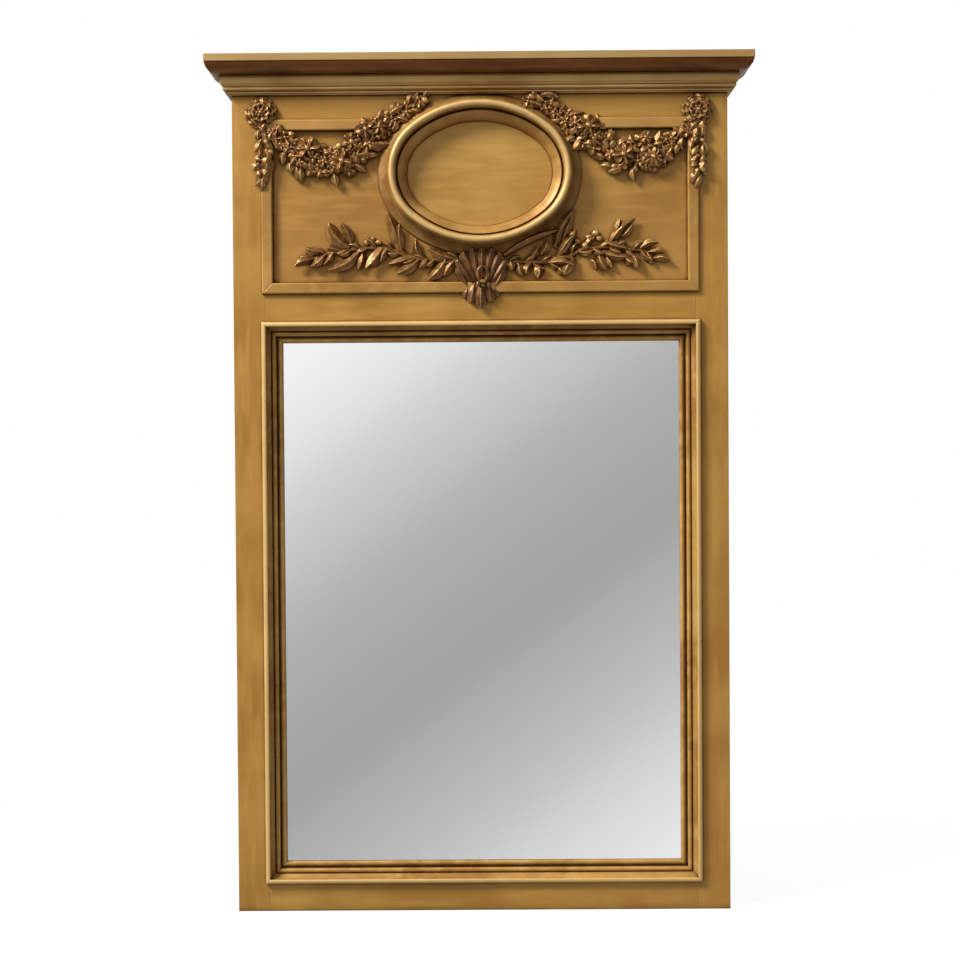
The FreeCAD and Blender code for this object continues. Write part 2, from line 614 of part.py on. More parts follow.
def board_seats():
    """Seats of the small screws that hold the back board on the glass moulding."""
    inset = SLIP_W + (MOULD_W - MOULD_LAP - SLIP_W) / 2
    x, low, high = SIGHT_W / 2 + inset, SIGHT_Z - inset, SIGHT_Z + SIGHT_H + inset
    seats = [(px, pz) for px in spread(-x + SCREW_END, x - SCREW_END, BOARD_SCREWS_X)
             for pz in (low, high)]
    seats += [(px, pz) for pz in spread(low + SCREW_END, high - SCREW_END, BOARD_SCREWS_Z)
              for px in (-x, x)]
    return seats


def drive_screws(parts):
    """Make each screw group and its clearance holes in the pieces it joins."""
    for name, (seats, head_y, through, pieces) in screw_sets().items():
        length = through + SCREW_BITE
        sizes = (SCREW_R, SCREW_HEAD_R, SCREW_HEAD_H, length)
        add_screw_group(parts, name, seats, head_y, sizes, pieces)
    length = BACK_BOARD_T + SMALL_BITE
    sizes = (SMALL_SCREW_R, SMALL_HEAD_R, SMALL_HEAD_H, length)
    pieces = ["back_board"] + ["glass_moulding_" + s for s in ("left", "right", "top", "bottom")]
    add_screw_group(parts, "back_board_screws", board_seats(), -BACK_T + BACK_BOARD_T, sizes, pieces)


def add_screw_group(parts, name, seats, head_y, sizes, pieces):
    holes = Part.makeCompound([screw(x, z, head_y, *sizes, gap=HOLE_GAP) for x, z in seats])
    for piece in pieces:
        parts[piece] = parts[piece].cut(holes)
    parts[name] = Part.makeCompound([screw(x, z, head_y, *sizes) for x, z in seats])


# ================================================================ ring hangers
RAIL_BACK = -BACK_T + HANG_RAIL_T                        # back of the hanging rail, as y
KNUCKLE_R = RING_WIRE_R + KNUCKLE_GAP + STRAP_T          # outside of the strap's eye
PIVOT_Y = RAIL_BACK + STRAP_T + RING_CLEAR + RING_WIRE_R
PIVOT_Z = HANG_RAIL_Z + HANG_RAIL_W / 4


def hanger_strap():
    """Strap plate on the rail, folded at the top into an eye for the ring."""
    y = (RAIL_BACK, RAIL_BACK + STRAP_T)
    half = STRAP_W / 2
    plate = box((HANGER_X - half, HANGER_X + half), y, (PIVOT_Z - STRAP_L, PIVOT_Z))
    half_eye = KNUCKLE_W / 2
    start = vec(HANGER_X - half_eye, PIVOT_Y, PIVOT_Z)
    eye = cylinder(KNUCKLE_R, KNUCKLE_W, start, vec(1, 0, 0))
    root = box((HANGER_X - half_eye, HANGER_X + half_eye), (RAIL_BACK, PIVOT_Y),
               (PIVOT_Z - KNUCKLE_R, PIVOT_Z + KNUCKLE_R))
    bore_start = start - vec(SPARE, 0, 0)
    bore = cylinder(RING_WIRE_R + KNUCKLE_GAP, KNUCKLE_W + 2 * SPARE, bore_start, vec(1, 0, 0))
    body = union([plate, eye, root]).cut(bore)
    swing = box((HANGER_X - half, HANGER_X + half), (RAIL_BACK + STRAP_T, SPARE),
                (PIVOT_Z - STRAP_L, PIVOT_Z - KNUCKLE_R))
    return body.cut(swing).cut(box((-BODY_X, BODY_X), (-FACE, RAIL_BACK), (0, FRAME_TOP)))


def d_ring():
    """Closed D of round wire, hanging down from the eye with its flat side in it."""
    half, straight = RING_HALF_W, RING_STRAIGHT

    def at(x, z):
        return vec(HANGER_X + x, PIVOT_Y, PIVOT_Z + z)

    low = -straight - half
    path = Part.Wire([Part.LineSegment(at(-half, 0), at(-half, -straight)).toShape(),
                      Part.Arc(at(-half, -straight), at(0, low), at(half, -straight)).toShape(),
                      Part.LineSegment(at(half, -straight), at(half, 0)).toShape()])
    circle = Part.Wire(Part.makeCircle(RING_WIRE_R, at(-half, 0), vec(0, 0, 1)))
    loop = path.makePipeShell([circle], True, True)
    bar = cylinder(RING_WIRE_R, 2 * half, at(-half, 0), vec(1, 0, 0))
    corners = [Part.makeSphere(RING_WIRE_R, at(x, 0)) for x in (-half, half)]
    return union([loop, bar] + corners)


def hangers():
    strap, ring = hanger_strap(), d_ring()
    lower = PIVOT_Z - STRAP_L + STRAP_SCREW_END
    seats = [(sign * HANGER_X, lower + STRAP_SCREW_PITCH * i)
             for i in range(STRAP_SCREWS) for sign in (-1, 1)]
    parts = {"hanger_strap_right": strap, "hanger_strap_left": mirrored(strap),
             "d_ring_right": ring, "d_ring_left": mirrored(ring)}
    return parts, seats


def fix_hangers(parts, seats):
    sizes = (SMALL_SCREW_R, SMALL_HEAD_R, STRAP_T, STRAP_SCREW_L)
    pieces = ["hanger_strap_left", "hanger_strap_right", "hanging_rail"]
    add_screw_group(parts, "hanger_screws", seats, RAIL_BACK + STRAP_T, sizes, pieces)


# ================================================================ carved ornament
def solid_from(faces):
    shell = Part.makeShell(faces)
    shell.sewShape()
    body = Part.makeSolid(shell)
    if body.Volume < 0:
        body.reverse()
    return body


def facet(*corners):
    return Part.Face(Part.makePolygon(list(corners) + [corners[0]]))


# Share of a leaf's length, of its half width and of its rise, from base to just before the tip.
LEAF_SHAPE = ((0.0, 0.35, 0.55), (0.35, 1.0, 1.0), (0.72, 0.72, 0.8))


def leaf(base, tip, width, rise, ground, tip_width=0.0):
    """A pointed leaf with a raised midrib, from base to tip on the plane y = -ground."""
    along = vec(tip[0] - base[0], 0, tip[1] - base[1])
    length = along.Length
    along.normalize()
    across = vec(along.z, 0, -along.x)
    root = vec(base[0], -ground, base[1])
    blunt = (1.0, tip_width, BLUNT_RISE)
    stations = list(LEAF_SHAPE) + [blunt if tip_width else (1.0, TIP_WIDTH, TIP_RISE)]

    def at(share, side, height):
        return root + along * (length * share) + across * (side * width / 2) + vec(0, -height, 0)

    floor_l = [at(s, w, 0) for s, w, h in stations]
    floor_r = [at(s, -w, 0) for s, w, h in stations]
    rim_l = [at(s, w, LEAF_RIM) for s, w, h in stations]
    rim_r = [at(s, -w, LEAF_RIM) for s, w, h in stations]
    rib = [at(s, 0, max(h * rise, LEAF_RIM * RIB_OVER_RIM)) for s, w, h in stations]
    faces = [facet(*(floor_l + floor_r[::-1]))]
    last = len(stations) - 1
    for i in range(last):
        faces.append(facet(floor_l[i], floor_l[i + 1], rim_l[i + 1], rim_l[i]))
        faces.append(facet(floor_r[i], floor_r[i + 1], rim_r[i + 1], rim_r[i]))
        for rim in (rim_l, rim_r):
            faces.append(facet(rim[i], rim[i + 1], rib[i + 1]))
            faces.append(facet(rim[i], rib[i + 1], rib[i]))
    for end in (0, last):
        faces.append(facet(floor_l[end], rim_l[end], rib[end], rim_r[end], floor_r[end]))
    return solid_from(faces)


DOME_SHAPE = ((1.0, 0.0), (1.0, 0.3), (0.72, 0.8), (0.3, 1.0))
DOME_SIDES = 8


def dome(x, z, radius, height, ground):
    """A low faceted knob, for a bud or the heart of a flower."""
    rings = []
    for share, rise in DOME_SHAPE:
        ring = []
        for i in range(DOME_SIDES):
            turn = 2 * math.pi * (i + 0.5) / DOME_SIDES
            ring.append(vec(x + radius * share * math.cos(turn), -ground - height * rise,
                            z + radius * share * math.sin(turn)))
        rings.append(ring)
    faces = [facet(*rings[0]), facet(*rings[-1])]
    for lower, upper in zip(rings, rings[1:]):
        for i in range(DOME_SIDES):
            j = (i + 1) % DOME_SIDES
            faces.append(facet(lower[i], lower[j], upper[j], upper[i]))
    return solid_from(faces)


def flower(x, z, radius, rise, ground, petals=PETALS):
    shapes = [dome(x, z, radius * HEART_SHARE, rise, ground)]
    width = 2 * math.pi * radius / petals * PETAL_FILL
    for i in range(petals):
        turn = 2 * math.pi * i / petals
        tip = (x + radius * math.cos(turn), z + radius * math.sin(turn))
        shapes.append(leaf((x, z), tip, width, rise * PETAL_RISE, ground, PETAL_TIP))
    return shapes


def stem(points, rise, ground):
    """A tapering stem along (x, z, half width) points, with a knob at each bend."""
    shapes = []
    for (x0, z0, w0), (x1, z1, w1) in zip(points, points[1:]):
        along = vec(x1 - x0, 0, z1 - z0).normalize()
        across = vec(along.z, 0, -along.x)
        a, b = vec(x0, -ground, z0), vec(x1, -ground, z1)
        outline = [a + across * w0, b + across * w1, b - across * w1, a - across * w0]
        shapes.append(prism(outline, vec(0, -rise, 0)))
    for x, z, w in points:
        shapes.append(dome(x, z, w * KNOB_WIDTH, rise * KNOB_RISE, ground))
    return shapes


def one_solid(shapes, *neighbours):
    """Fuse the pieces of a carving and hollow its back to lie on its neighbours."""
    body = union(shapes)
    for neighbour in neighbours:
        body = body.cut(neighbour)
    return max(body.Solids, key=lambda s: s.Volume)


# Laurel spray to the left of the oval's foot, measured from the oval's centre:
# (base x, base z, tip x, tip z, width).
SPRAY_LEAVES = [
    (-318, -159, -353, -173, 14), (-303, -147, -332, -138, 11), (-294, -150, -321, -173, 12),
    (-248, -138, -287, -92, 28), (-244, -134, -264, -90, 16), (-238, -132, -270, -148, 9),
    (-228, -144, -288, -181, 18), (-223, -148, -232, -180, 14), (-186, -140, -217, -178, 21),
    (-177, -140, -189, -165, 14), (-154, -144, -176, -73, 18), (-150, -144, -153, -94, 14),
    (-113, -158, -122, -122, 16), (-131, -158, -174, -170, 14), (-117, -162, -159, -189, 18),
    (-101, -161, -115, -177, 9), (-65, -161, -99, -200, 25), (-46, -161, -69, -192, 21),
    (-49, -160, -99, -140, 14)]
SPRAY_STEM = [(-40, -163, 5), (-117, -160, 5), (-175, -138, 5), (-228, -140, 5),
              (-294, -150, 4), (-324, -161, 3)]
SPRAY_BUDS = [(-211, -124, 8), (-197, -124, 8)]

# Left swag, measured from the rosette's centre along the way to the oval's centre and down.
SWAG_LEAVES = [
    (13, -29, 29, -67, 15), (22, -30, 39, -72, 15), (66, -62, 48, -46, 12),
    (66, -72, 47, -78, 12), (78, -82, 56, -99, 15), (80, -87, 73, -113, 15),
    (92, -89, 95, -115, 15), (105, -87, 112, -114, 15), (119, -77, 136, -114, 22),
    (187, -69, 179, -97, 19), (201, -64, 201, -90, 19), (211, -58, 226, -66, 15),
    (228, -28, 231, 0, 15), (232, -44, 262, -4, 20), (211, -28, 189, -13, 15),
    (255, 1, 303, 22, 17)]
SWAG_FLOWERS = [(88, -70, 26), (172, -59, 21), (198, -35, 21), (224, -30, 19)]
SWAG_BUDS = [(159, -97, 16), (148, -66, 8), (254, 8, 6), (265, -1, 6), (311, 20, 9)]
SWAG_STEM = [(18, -29, 6), (47, -67, 8), (85, -82, 14), (138, -90, 14), (177, -73, 14),
             (211, -45, 14), (246, -10, 9), (306, 18, 5)]
SWAG_SPAN = 413.5          # rosette to oval centre on which the swag was measured


def laurel_spray(bands, oval):
    """Spray of laurel to the left of the oval's foot."""
    def at(x, z):
        return (x, OVAL_Z + z)

    shapes = stem([(*at(x, z), w) for x, z, w in SPRAY_STEM], STEM_RISE, PANEL_FACE)
    for bx, bz, tx, tz, width in SPRAY_LEAVES:
        shapes.append(leaf(at(bx, bz), at(tx, tz), width, LEAF_RISE, PANEL_FACE))
    for x, z, radius in SPRAY_BUDS:
        shapes.append(dome(*at(x, z), radius, radius * BUD_SHARE, PANEL_FACE))
    return one_solid(shapes, bands["frieze_band_bottom"], oval["oval_frame"])


def swag(bands, oval):
    """Garland of leaves and flowers from the left rosette to the top of the oval."""
    def at(along, z):
        return (-ROSETTE_X * (1 - along / SWAG_SPAN), ROSETTE_Z + z)

    shapes = stem([(*at(x, z), w) for x, z, w in SWAG_STEM], LEAF_RISE, PANEL_FACE)
    for bx, bz, tx, tz, width in SWAG_LEAVES:
        shapes.append(leaf(at(bx, bz), at(tx, tz), width, SWAG_LEAF_RISE, PANEL_FACE))
    for x, z, radius in SWAG_FLOWERS:
        shapes += flower(*at(x, z), radius, SWAG_FLOWER_RISE, PANEL_FACE)
    for x, z, radius in SWAG_BUDS:
        shapes.append(dome(*at(x, z), radius, SWAG_BUD_RISE + radius * BUD_SHARE, PANEL_FACE))
    cornice_space = box((-BODY_X, BODY_X), (-FACE * 3, SPARE), (CORNICE_Z, TOTAL_H))
    rail_face = box((-BODY_X, BODY_X), (-FACE, SPARE), (FRIEZE_OPEN_TOP, FRAME_TOP))
    return one_solid(shapes, cornice_space, rail_face, bands["frieze_band_top_left"],
                     bands["frieze_band_left"], oval["oval_frame"], rosette_space())


def rosette_space():
    return cylinder(ROSETTE_R, FACE * 2, vec(-ROSETTE_X, 0, ROSETTE_Z), vec(0, -1, 0))


# Tiers of a rosette: share of its radius, share of its rise, number of petals.
ROSETTE_TIERS = ((1.0, 0.75, 10), (0.62, 1.0, 7))


def rosette(bands):
    """Round flower over the corner of the frieze band, on the left."""
    x, z = -ROSETTE_X, ROSETTE_Z
    outer = ROSETTE_R - FIT
    shapes = [cylinder(outer * ROSETTE_DISC, ROSETTE_DISC_RISE, vec(x, -FACE, z), vec(0, -1, 0))]
    for share, rise, petals in ROSETTE_TIERS:
        shapes += flower(x, z, outer * share, ROSETTE_RISE * rise, FACE, petals)
    return one_solid(shapes, bands["frieze_band_top_left"], bands["frieze_band_left"])


def drop(bands, swag_shape):
    """Pendant of overlapping leaves that hangs from the left rosette over the side band."""
    x, top = -ROSETTE_X, ROSETTE_Z - ROSETTE_R
    tier = DROP_L / (DROP_TIERS + 1)
    shapes = [leaf((x, top), (x, top - DROP_L), DROP_W * DROP_SPINE, ROSETTE_RISE, FACE)]
    for i in range(DROP_TIERS):
        z = top - tier * i
        swell = (1 - DROP_NARROW) * math.sin(math.pi * i / DROP_TIERS)
        width = DROP_W * (DROP_NARROW + swell)
        for side in (-1, 1):
            tip = (x + side * width * DROP_REACH, z - tier * DROP_TIER_LAP)
            shapes.append(leaf((x, z), tip, width * DROP_LEAF, DROP_LEAF_RISE, FACE))
    panel_back = box((-BODY_X, BODY_X), (-FACE, SPARE), (0, TOTAL_H))
    return one_solid(shapes, rosette_space(), panel_back, bands["frieze_band_left"],
                     bands["frieze_band_top_left"], swag_shape)


# Heights on the acanthus cartouche under the oval, measured from the oval's centre.
CARTOUCHE_TOP = -141.0
CARTOUCHE_HEART = -190.0
CARTOUCHE_WAIST = -215.0
CARTOUCHE_TIP = -253.0
CARTOUCHE_HALF_W = 46.0


def cartouche(bands, oval, sprays):
    """A fan of ribs over a round heart, with a three-lobed tip on the bottom band."""
    heart = (0, OVAL_Z + CARTOUCHE_HEART)
    waist = (0, OVAL_Z + CARTOUCHE_WAIST)
    fan_h = CARTOUCHE_TOP - CARTOUCHE_HEART
    shapes = [dome(*heart, HEART_R, HEART_RISE, PANEL_FACE),
              dome(*heart, HEART_STEP_R, CARTOUCHE_RISE, PANEL_FACE)]
    for i in range(CARTOUCHE_RIBS):
        turn = math.pi * i / (CARTOUCHE_RIBS - 1)
        rib_z = fan_h * math.sin(turn) + SIDE_RIB_LIFT * math.cos(turn) ** 2
        tip = (CARTOUCHE_HALF_W * math.cos(turn), heart[1] + rib_z)
        shapes.append(leaf(waist, tip, RIB_W, RIB_RISE, PANEL_FACE, RIB_TIP))
    for side in (-1, 0, 1):
        tip = (side * LOBE_W, OVAL_Z + CARTOUCHE_TIP + abs(side) * LOBE_LIFT)
        shapes.append(leaf(heart, tip, LOBE_W, CARTOUCHE_RISE, PANEL_FACE, LOBE_TIP))
    rail_face = box((-BODY_X, BODY_X), (-FACE, SPARE), (0, FRIEZE_OPEN_LOW))
    return one_solid(shapes, rail_face, bands["frieze_band_bottom"], oval["oval_frame"], *sprays)


def carvings(bands, oval):
    spray_left = laurel_spray(bands, oval)
    swag_left = swag(bands, oval)
    drop_left = drop(bands, swag_left)
    rosette_left = rosette(bands)
    parts = {"laurel_spray_left": spray_left, "laurel_spray_right": mirrored(spray_left)}
    sprays = list(parts.values())
    parts["acanthus_cartouche"] = cartouche(bands, oval, sprays)
    for name, shape in (("swag", swag_left), ("drop", drop_left), ("rosette", rosette_left)):
        parts[name + "_left"] = shape
        parts[name + "_right"] = mirrored(shape)
    return parts


# ================================================================ assembly
def build():
    parts = {}
    parts.update(face_frame())
    parts.update(back_frame())
    parts.update(plate_and_board())
    parts.update(glass_mouldings())
    parts.update(cornice())
    oval = oval_frame()
    footprint_edge = RING_INNER_W + RING_OUTER_W
    bands = frieze_bands(oval_disc(footprint_edge, -FACE * 2, -FACE / 2))
    parts.update(oval)
    parts.update(bands)
    parts.update(carvings(bands, oval))
    hanger_parts, seats = hangers()
    parts.update(hanger_parts)
    drive_screws(parts)
    fix_hangers(parts, seats)
    return parts


os.makedirs("parts", exist_ok=True)
for node, shape in build().items():
    shape.exportStep(os.path.join("parts", node + ".step"))
    print(node, len(shape.Solids), "solids", round(shape.Volume / 1000.0, 1), "cm3",
          "valid" if shape.isValid() else "NOT VALID")
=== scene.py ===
"""Looks of the trumeau mirror: antique gold over carved wood, dark glaze in the hollows, silvered glass.

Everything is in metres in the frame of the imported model: the wall plane is y = 0, the front faces -Y.
The carvings are shaped in millimetres, as (x, out, z), where out is measured forward from the wall.
"""
import bpy
import math
import random
import numpy as np
from mathutils import Matrix, Vector


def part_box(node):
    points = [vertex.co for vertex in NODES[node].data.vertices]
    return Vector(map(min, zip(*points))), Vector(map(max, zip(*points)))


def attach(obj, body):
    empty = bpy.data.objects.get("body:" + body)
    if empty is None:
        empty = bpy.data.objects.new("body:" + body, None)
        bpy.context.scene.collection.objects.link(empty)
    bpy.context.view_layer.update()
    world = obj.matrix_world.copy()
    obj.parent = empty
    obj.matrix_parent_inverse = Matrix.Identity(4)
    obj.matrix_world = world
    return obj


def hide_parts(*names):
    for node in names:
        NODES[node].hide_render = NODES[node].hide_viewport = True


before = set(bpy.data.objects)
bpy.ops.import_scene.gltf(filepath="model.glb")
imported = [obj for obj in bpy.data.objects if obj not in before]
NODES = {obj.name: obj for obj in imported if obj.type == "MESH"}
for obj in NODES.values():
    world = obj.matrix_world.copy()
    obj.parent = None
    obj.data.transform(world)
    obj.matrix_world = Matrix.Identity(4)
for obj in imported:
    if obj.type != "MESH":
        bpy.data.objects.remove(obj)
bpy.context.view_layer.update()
MM = 0.001


def centre_mm(node):
    """The middle of a node's box."""
    low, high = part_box(node)
    return (low + high) / (2 * MM)


OVAL = centre_mm("oval_plaque")
ROSETTES = {side: centre_mm("rosette_" + side) for side in ("left", "right")}
PANEL_OUT = -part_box("frieze_panel")[0].y / MM
FACE_OUT = -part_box("middle_rail")[0].y / MM
BAND_OUT = -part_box("frieze_band_left")[0].y / MM
BAND_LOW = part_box("frieze_band_left")[0].z / MM
BAND_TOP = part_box("frieze_band_left")[1].z / MM
BAND_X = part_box("frieze_band_right")[1].x / MM
BAND_W = (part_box("frieze_band_bottom")[1].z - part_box("frieze_band_bottom")[0].z) / MM
CREST_OUT = -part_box("oval_frame")[0].y / MM
NOSE_OUT = -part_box("glass_moulding_left")[0].y / MM
OVOLO_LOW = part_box("cornice_ovolo_front")[0].z / MM


def ground_out(x, z):
    """How far forward the surface under a carving stands at a place on the frieze, in mm."""
    inside = abs(x) < BAND_X - BAND_W and BAND_LOW + BAND_W < z < BAND_TOP - BAND_W
    if inside:
        return PANEL_OUT
    on_band = abs(x) < BAND_X and BAND_LOW < z < BAND_TOP
    return BAND_OUT if on_band else FACE_OUT


def add_object(name, data):
    piece = bpy.data.objects.new(name, data)
    bpy.context.scene.collection.objects.link(piece)
    return piece


# ---------------- carving tools
class Relief:
    """Closed shells that together make one carving, in millimetres."""

    def __init__(self, seed):
        self.points, self.faces = [], []
        self.random = random.Random(seed)

    def add(self, points, faces):
        start = len(self.points)
        self.points.extend(points)
        self.faces.extend([tuple(start + i for i in face) for face in faces])

    def shell(self, top, under):
        """Close two grids of points, the front and the back of a leaf, into one shell."""
        rows, cols = len(top), len(top[0])
        size = rows * cols
        points = [p for row in top for p in row] + [p for row in under for p in row]
        faces = []
        for i in range(rows - 1):
            for j in range(cols - 1):
                a, b, c, d = i * cols + j, i * cols + j + 1, (i + 1) * cols + j + 1, (i + 1) * cols + j
                faces += [(a, b, c, d), (size + d, size + c, size + b, size + a)]
        rim = [(i, 0) for i in range(rows)] + [(rows - 1, j) for j in range(1, cols)]
        rim += [(i, cols - 1) for i in range(rows - 2, -1, -1)] + [(0, j) for j in range(cols - 2, 0, -1)]
        flat = [i * cols + j for i, j in rim]
        for a, b in zip(flat, flat[1:] + flat[:1]):
            faces.append((b, a, size + a, size + b))
        self.add(points, faces)


def toward(x, z, reach, angle):
    """The place at a distance from (x, z) in a direction."""
    return x + reach * math.cos(angle), z + reach * math.sin(angle)


# Outlines: the half width at t, from 0 at the base to 1 at the tip, as a share of the widest.
def laurel_width(t):
    return 0.16 + 0.84 * math.sin(math.pi * min(1.0, 0.08 + 0.92 * t)) ** 0.85


def petal_width(t):
    wide = 0.3 + 0.7 * math.sin(math.pi * 0.5 * min(1.0, t * 1.35))
    return wide * (1 - max(0.0, t - 0.8) / 0.2 * 0.45)


def rib_width(t):
    return 0.45 + 0.55 * math.sin(math.pi * 0.5 * min(1.0, t * 1.2)) - 0.35 * max(0.0, t - 0.85) / 0.15


LEAF_ROWS, LEAF_COLS = 19, 13
LOBE_DEPTH = 0.22           # share of the width
VEIN_PAIRS, VEIN_SLANT, VEIN_HEIGHT = 4.0, 0.9, 0.3
RIDGE_WIDTH = 0.2           # share of half the width


def leaf(relief, base, tip, width, lift=3.0, crown=6.0, tip_lift=2.0, bend=0.0, ridge=1.2, fold=0.5,
         cup=0.0, tilt=0.0, lobes=0, veins=0.0, thick=4.0, shape=laurel_width, level=None):
    """A leaf or petal from base to tip, given as (x, z).

    lift, crown and tip_lift are heights over the surface beneath, or over level. ridge is the midrib,
    fold and cup turn the sides down or up, and tilt leans the leaf to one side.
    """
    (bx, bz), (tx, tz) = base, tip
    length = math.hypot(tx - bx, tz - bz)
    ax, az = (tx - bx) / length, (tz - bz) / length
    floor_base, floor_tip = (ground_out(bx, bz), ground_out(tx, tz)) if level is None else (level, level)
    top, under = [], []
    for i in range(LEAF_ROWS):
        t = i / (LEAF_ROWS - 1)
        sway = bend * length * math.sin(math.pi * t)
        cx, cz = bx + ax * length * t + az * sway, bz + az * length * t - ax * sway
        floor = floor_base + (floor_tip - floor_base) * t
        out = floor + lift + crown * math.sin(math.pi * (0.12 + 0.68 * t)) + tip_lift * t * t
        half = width / 2 * shape(t)
        if lobes:
            half *= 1 + LOBE_DEPTH * (abs(math.sin(math.pi * lobes * t)) - 0.5)
        row_top, row_under = [], []
        for j in range(LEAF_COLS):
            s = 2 * j / (LEAF_COLS - 1) - 1
            x, z = cx + az * half * s, cz - ax * half * s
            rise = ridge * math.exp(-(s / RIDGE_WIDTH) ** 2)
            rise = rise - fold * half * abs(s) ** 1.5 + cup * half * s * s
            rise += tilt * half * s
            vein = math.cos(2 * math.pi * (VEIN_PAIRS * t - VEIN_SLANT * abs(s)))
            rise += veins * vein * (1 - abs(s)) * math.sin(math.pi * t)
            high = out + rise
            low = high - thick * (1 - 0.55 * s * s) * (1 - 0.4 * t)
            row_top.append((x, high, z))
            row_under.append((x, max(low, min(floor - 0.6, high - 1.5)), z))
        top.append(row_top)
        under.append(row_under)
    relief.shell(top, under)


BALL_RINGS, BALL_SIDES = 9, 14


def ball(relief, x, z, radius, out=None, stretch=1.0, turn=0.0, squash=0.85):
    """A berry or bud; stretch lengthens it along the direction given by turn."""
    if out is None:
        out = ground_out(x, z) + radius * 0.55
    points = [(x, out + radius * squash, z)]
    cos_t, sin_t = math.cos(turn), math.sin(turn)
    for i in range(1, BALL_RINGS):
        polar = math.pi * i / BALL_RINGS
        for j in range(BALL_SIDES):
            around = 2 * math.pi * j / BALL_SIDES
            u = radius * stretch * math.sin(polar) * math.cos(around)
            v = radius * math.sin(polar) * math.sin(around)
            points.append((x + u * cos_t - v * sin_t, out + radius * squash * math.cos(polar),
                           z + u * sin_t + v * cos_t))
    points.append((x, out - radius * squash, z))
    faces = [(0, 1 + j, 1 + (j + 1) % BALL_SIDES) for j in range(BALL_SIDES)]
    for i in range(BALL_RINGS - 2):
        a, b = 1 + i * BALL_SIDES, 1 + (i + 1) * BALL_SIDES
        for j in range(BALL_SIDES):
            k = (j + 1) % BALL_SIDES
            faces.append((a + j, b + j, b + k, a + k))
    last, ring = len(points) - 1, 1 + (BALL_RINGS - 2) * BALL_SIDES
    faces += [(last, ring + (j + 1) % BALL_SIDES, ring + j) for j in range(BALL_SIDES)]
    relief.add(points, faces)


def flower(relief, x, z, radius, out, petals=5, turn=0.0, cup=0.35, droop=0.45, heart=0.24, seeds=7):
    """Open petals round a raised heart with a ring of small seeds; out is the height of their roots."""
    draw = relief.random.uniform
    for i in range(petals):
        angle = turn + 2 * math.pi * i / petals + draw(-0.08, 0.08)
        reach = radius * draw(0.92, 1.06)
        wide = 2 * math.pi * radius / petals * draw(0.8, 0.95)
        leaf(relief, toward(x, z, 0.12 * radius, angle), toward(x, z, reach, angle), wide, lift=0.0,
             crown=radius * 0.16, tip_lift=-radius * droop * draw(0.5, 1.1), ridge=-0.5, fold=0.0,
             cup=cup, thick=radius * 0.35, shape=petal_width, tilt=draw(-0.3, 0.3), level=out)
    heart_r = radius * heart
    ball(relief, x, z, heart_r, out=out + heart_r * 0.5)
    for i in range(seeds):
        angle = turn + 2 * math.pi * i / seeds
        ball(relief, *toward(x, z, heart_r * 1.2, angle), heart_r * 0.42, out=out + heart_r * 0.45)


TUBE_SIDES, TUBE_STEPS = 12, 6


def tube(relief, points, flat=None, level=None):
    """A stem through (x, z, radius, height) points, rounded between them.

    Heights are over the surface beneath, or over level; flat is the stem's depth if it isn't round.
    """
    line = smooth_line(points, TUBE_STEPS)
    turns = [2 * math.pi * k / TUBE_SIDES for k in range(TUBE_SIDES)]
    rings = []
    for i, (x, z, radius, height) in enumerate(line):
        px, pz = line[max(i - 1, 0)][:2]
        qx, qz = line[min(i + 1, len(line) - 1)][:2]
        length = math.hypot(qx - px, qz - pz) or 1.0
        ax, az = (qx - px) / length, (qz - pz) / length
        out = (ground_out(x, z) if level is None else level) + height
        deep = min(flat, radius) if flat else radius
        rings.append([(x + az * radius * math.cos(a), out + deep * math.sin(a),
                       z - ax * radius * math.cos(a)) for a in turns])
    last = (len(rings) - 1) * TUBE_SIDES
    faces = [tuple(range(TUBE_SIDES))[::-1], tuple(last + k for k in range(TUBE_SIDES))]
    for i in range(len(rings) - 1):
        near, far = i * TUBE_SIDES, (i + 1) * TUBE_SIDES
        for k in range(TUBE_SIDES):
            m = (k + 1) % TUBE_SIDES
            faces.append((near + k, near + m, far + m, far + k))
    relief.add([p for ring in rings for p in ring], faces)


def smooth_line(points, steps):
    """Points on a Catmull-Rom line through the given ones; any number of coordinates each."""
    pts = [points[0]] + list(points) + [points[-1]]
    line = []
    for p0, p1, p2, p3 in zip(pts, pts[1:], pts[2:], pts[3:]):
        for i in range(steps):
            t = i / steps
            line.append(tuple(0.5 * (2 * b + (c - a) * t + (2 * a - 5 * b + 4 * c - d) * t * t
                                     + (3 * b - a - 3 * c + d) * t ** 3)
                              for a, b, c, d in zip(p0, p1, p2, p3)))
    line.append(tuple(points[-1]))
    return line


VOXEL = 0.9 * MM
SOFTEN, SOFTEN_ROUNDS = 0.5, 2
KEEP_FACES = 0.4            # share of the faces left after thinning
ROOT_DEPTH = 3.0            # how far a carving is let into the panel at most, in mm


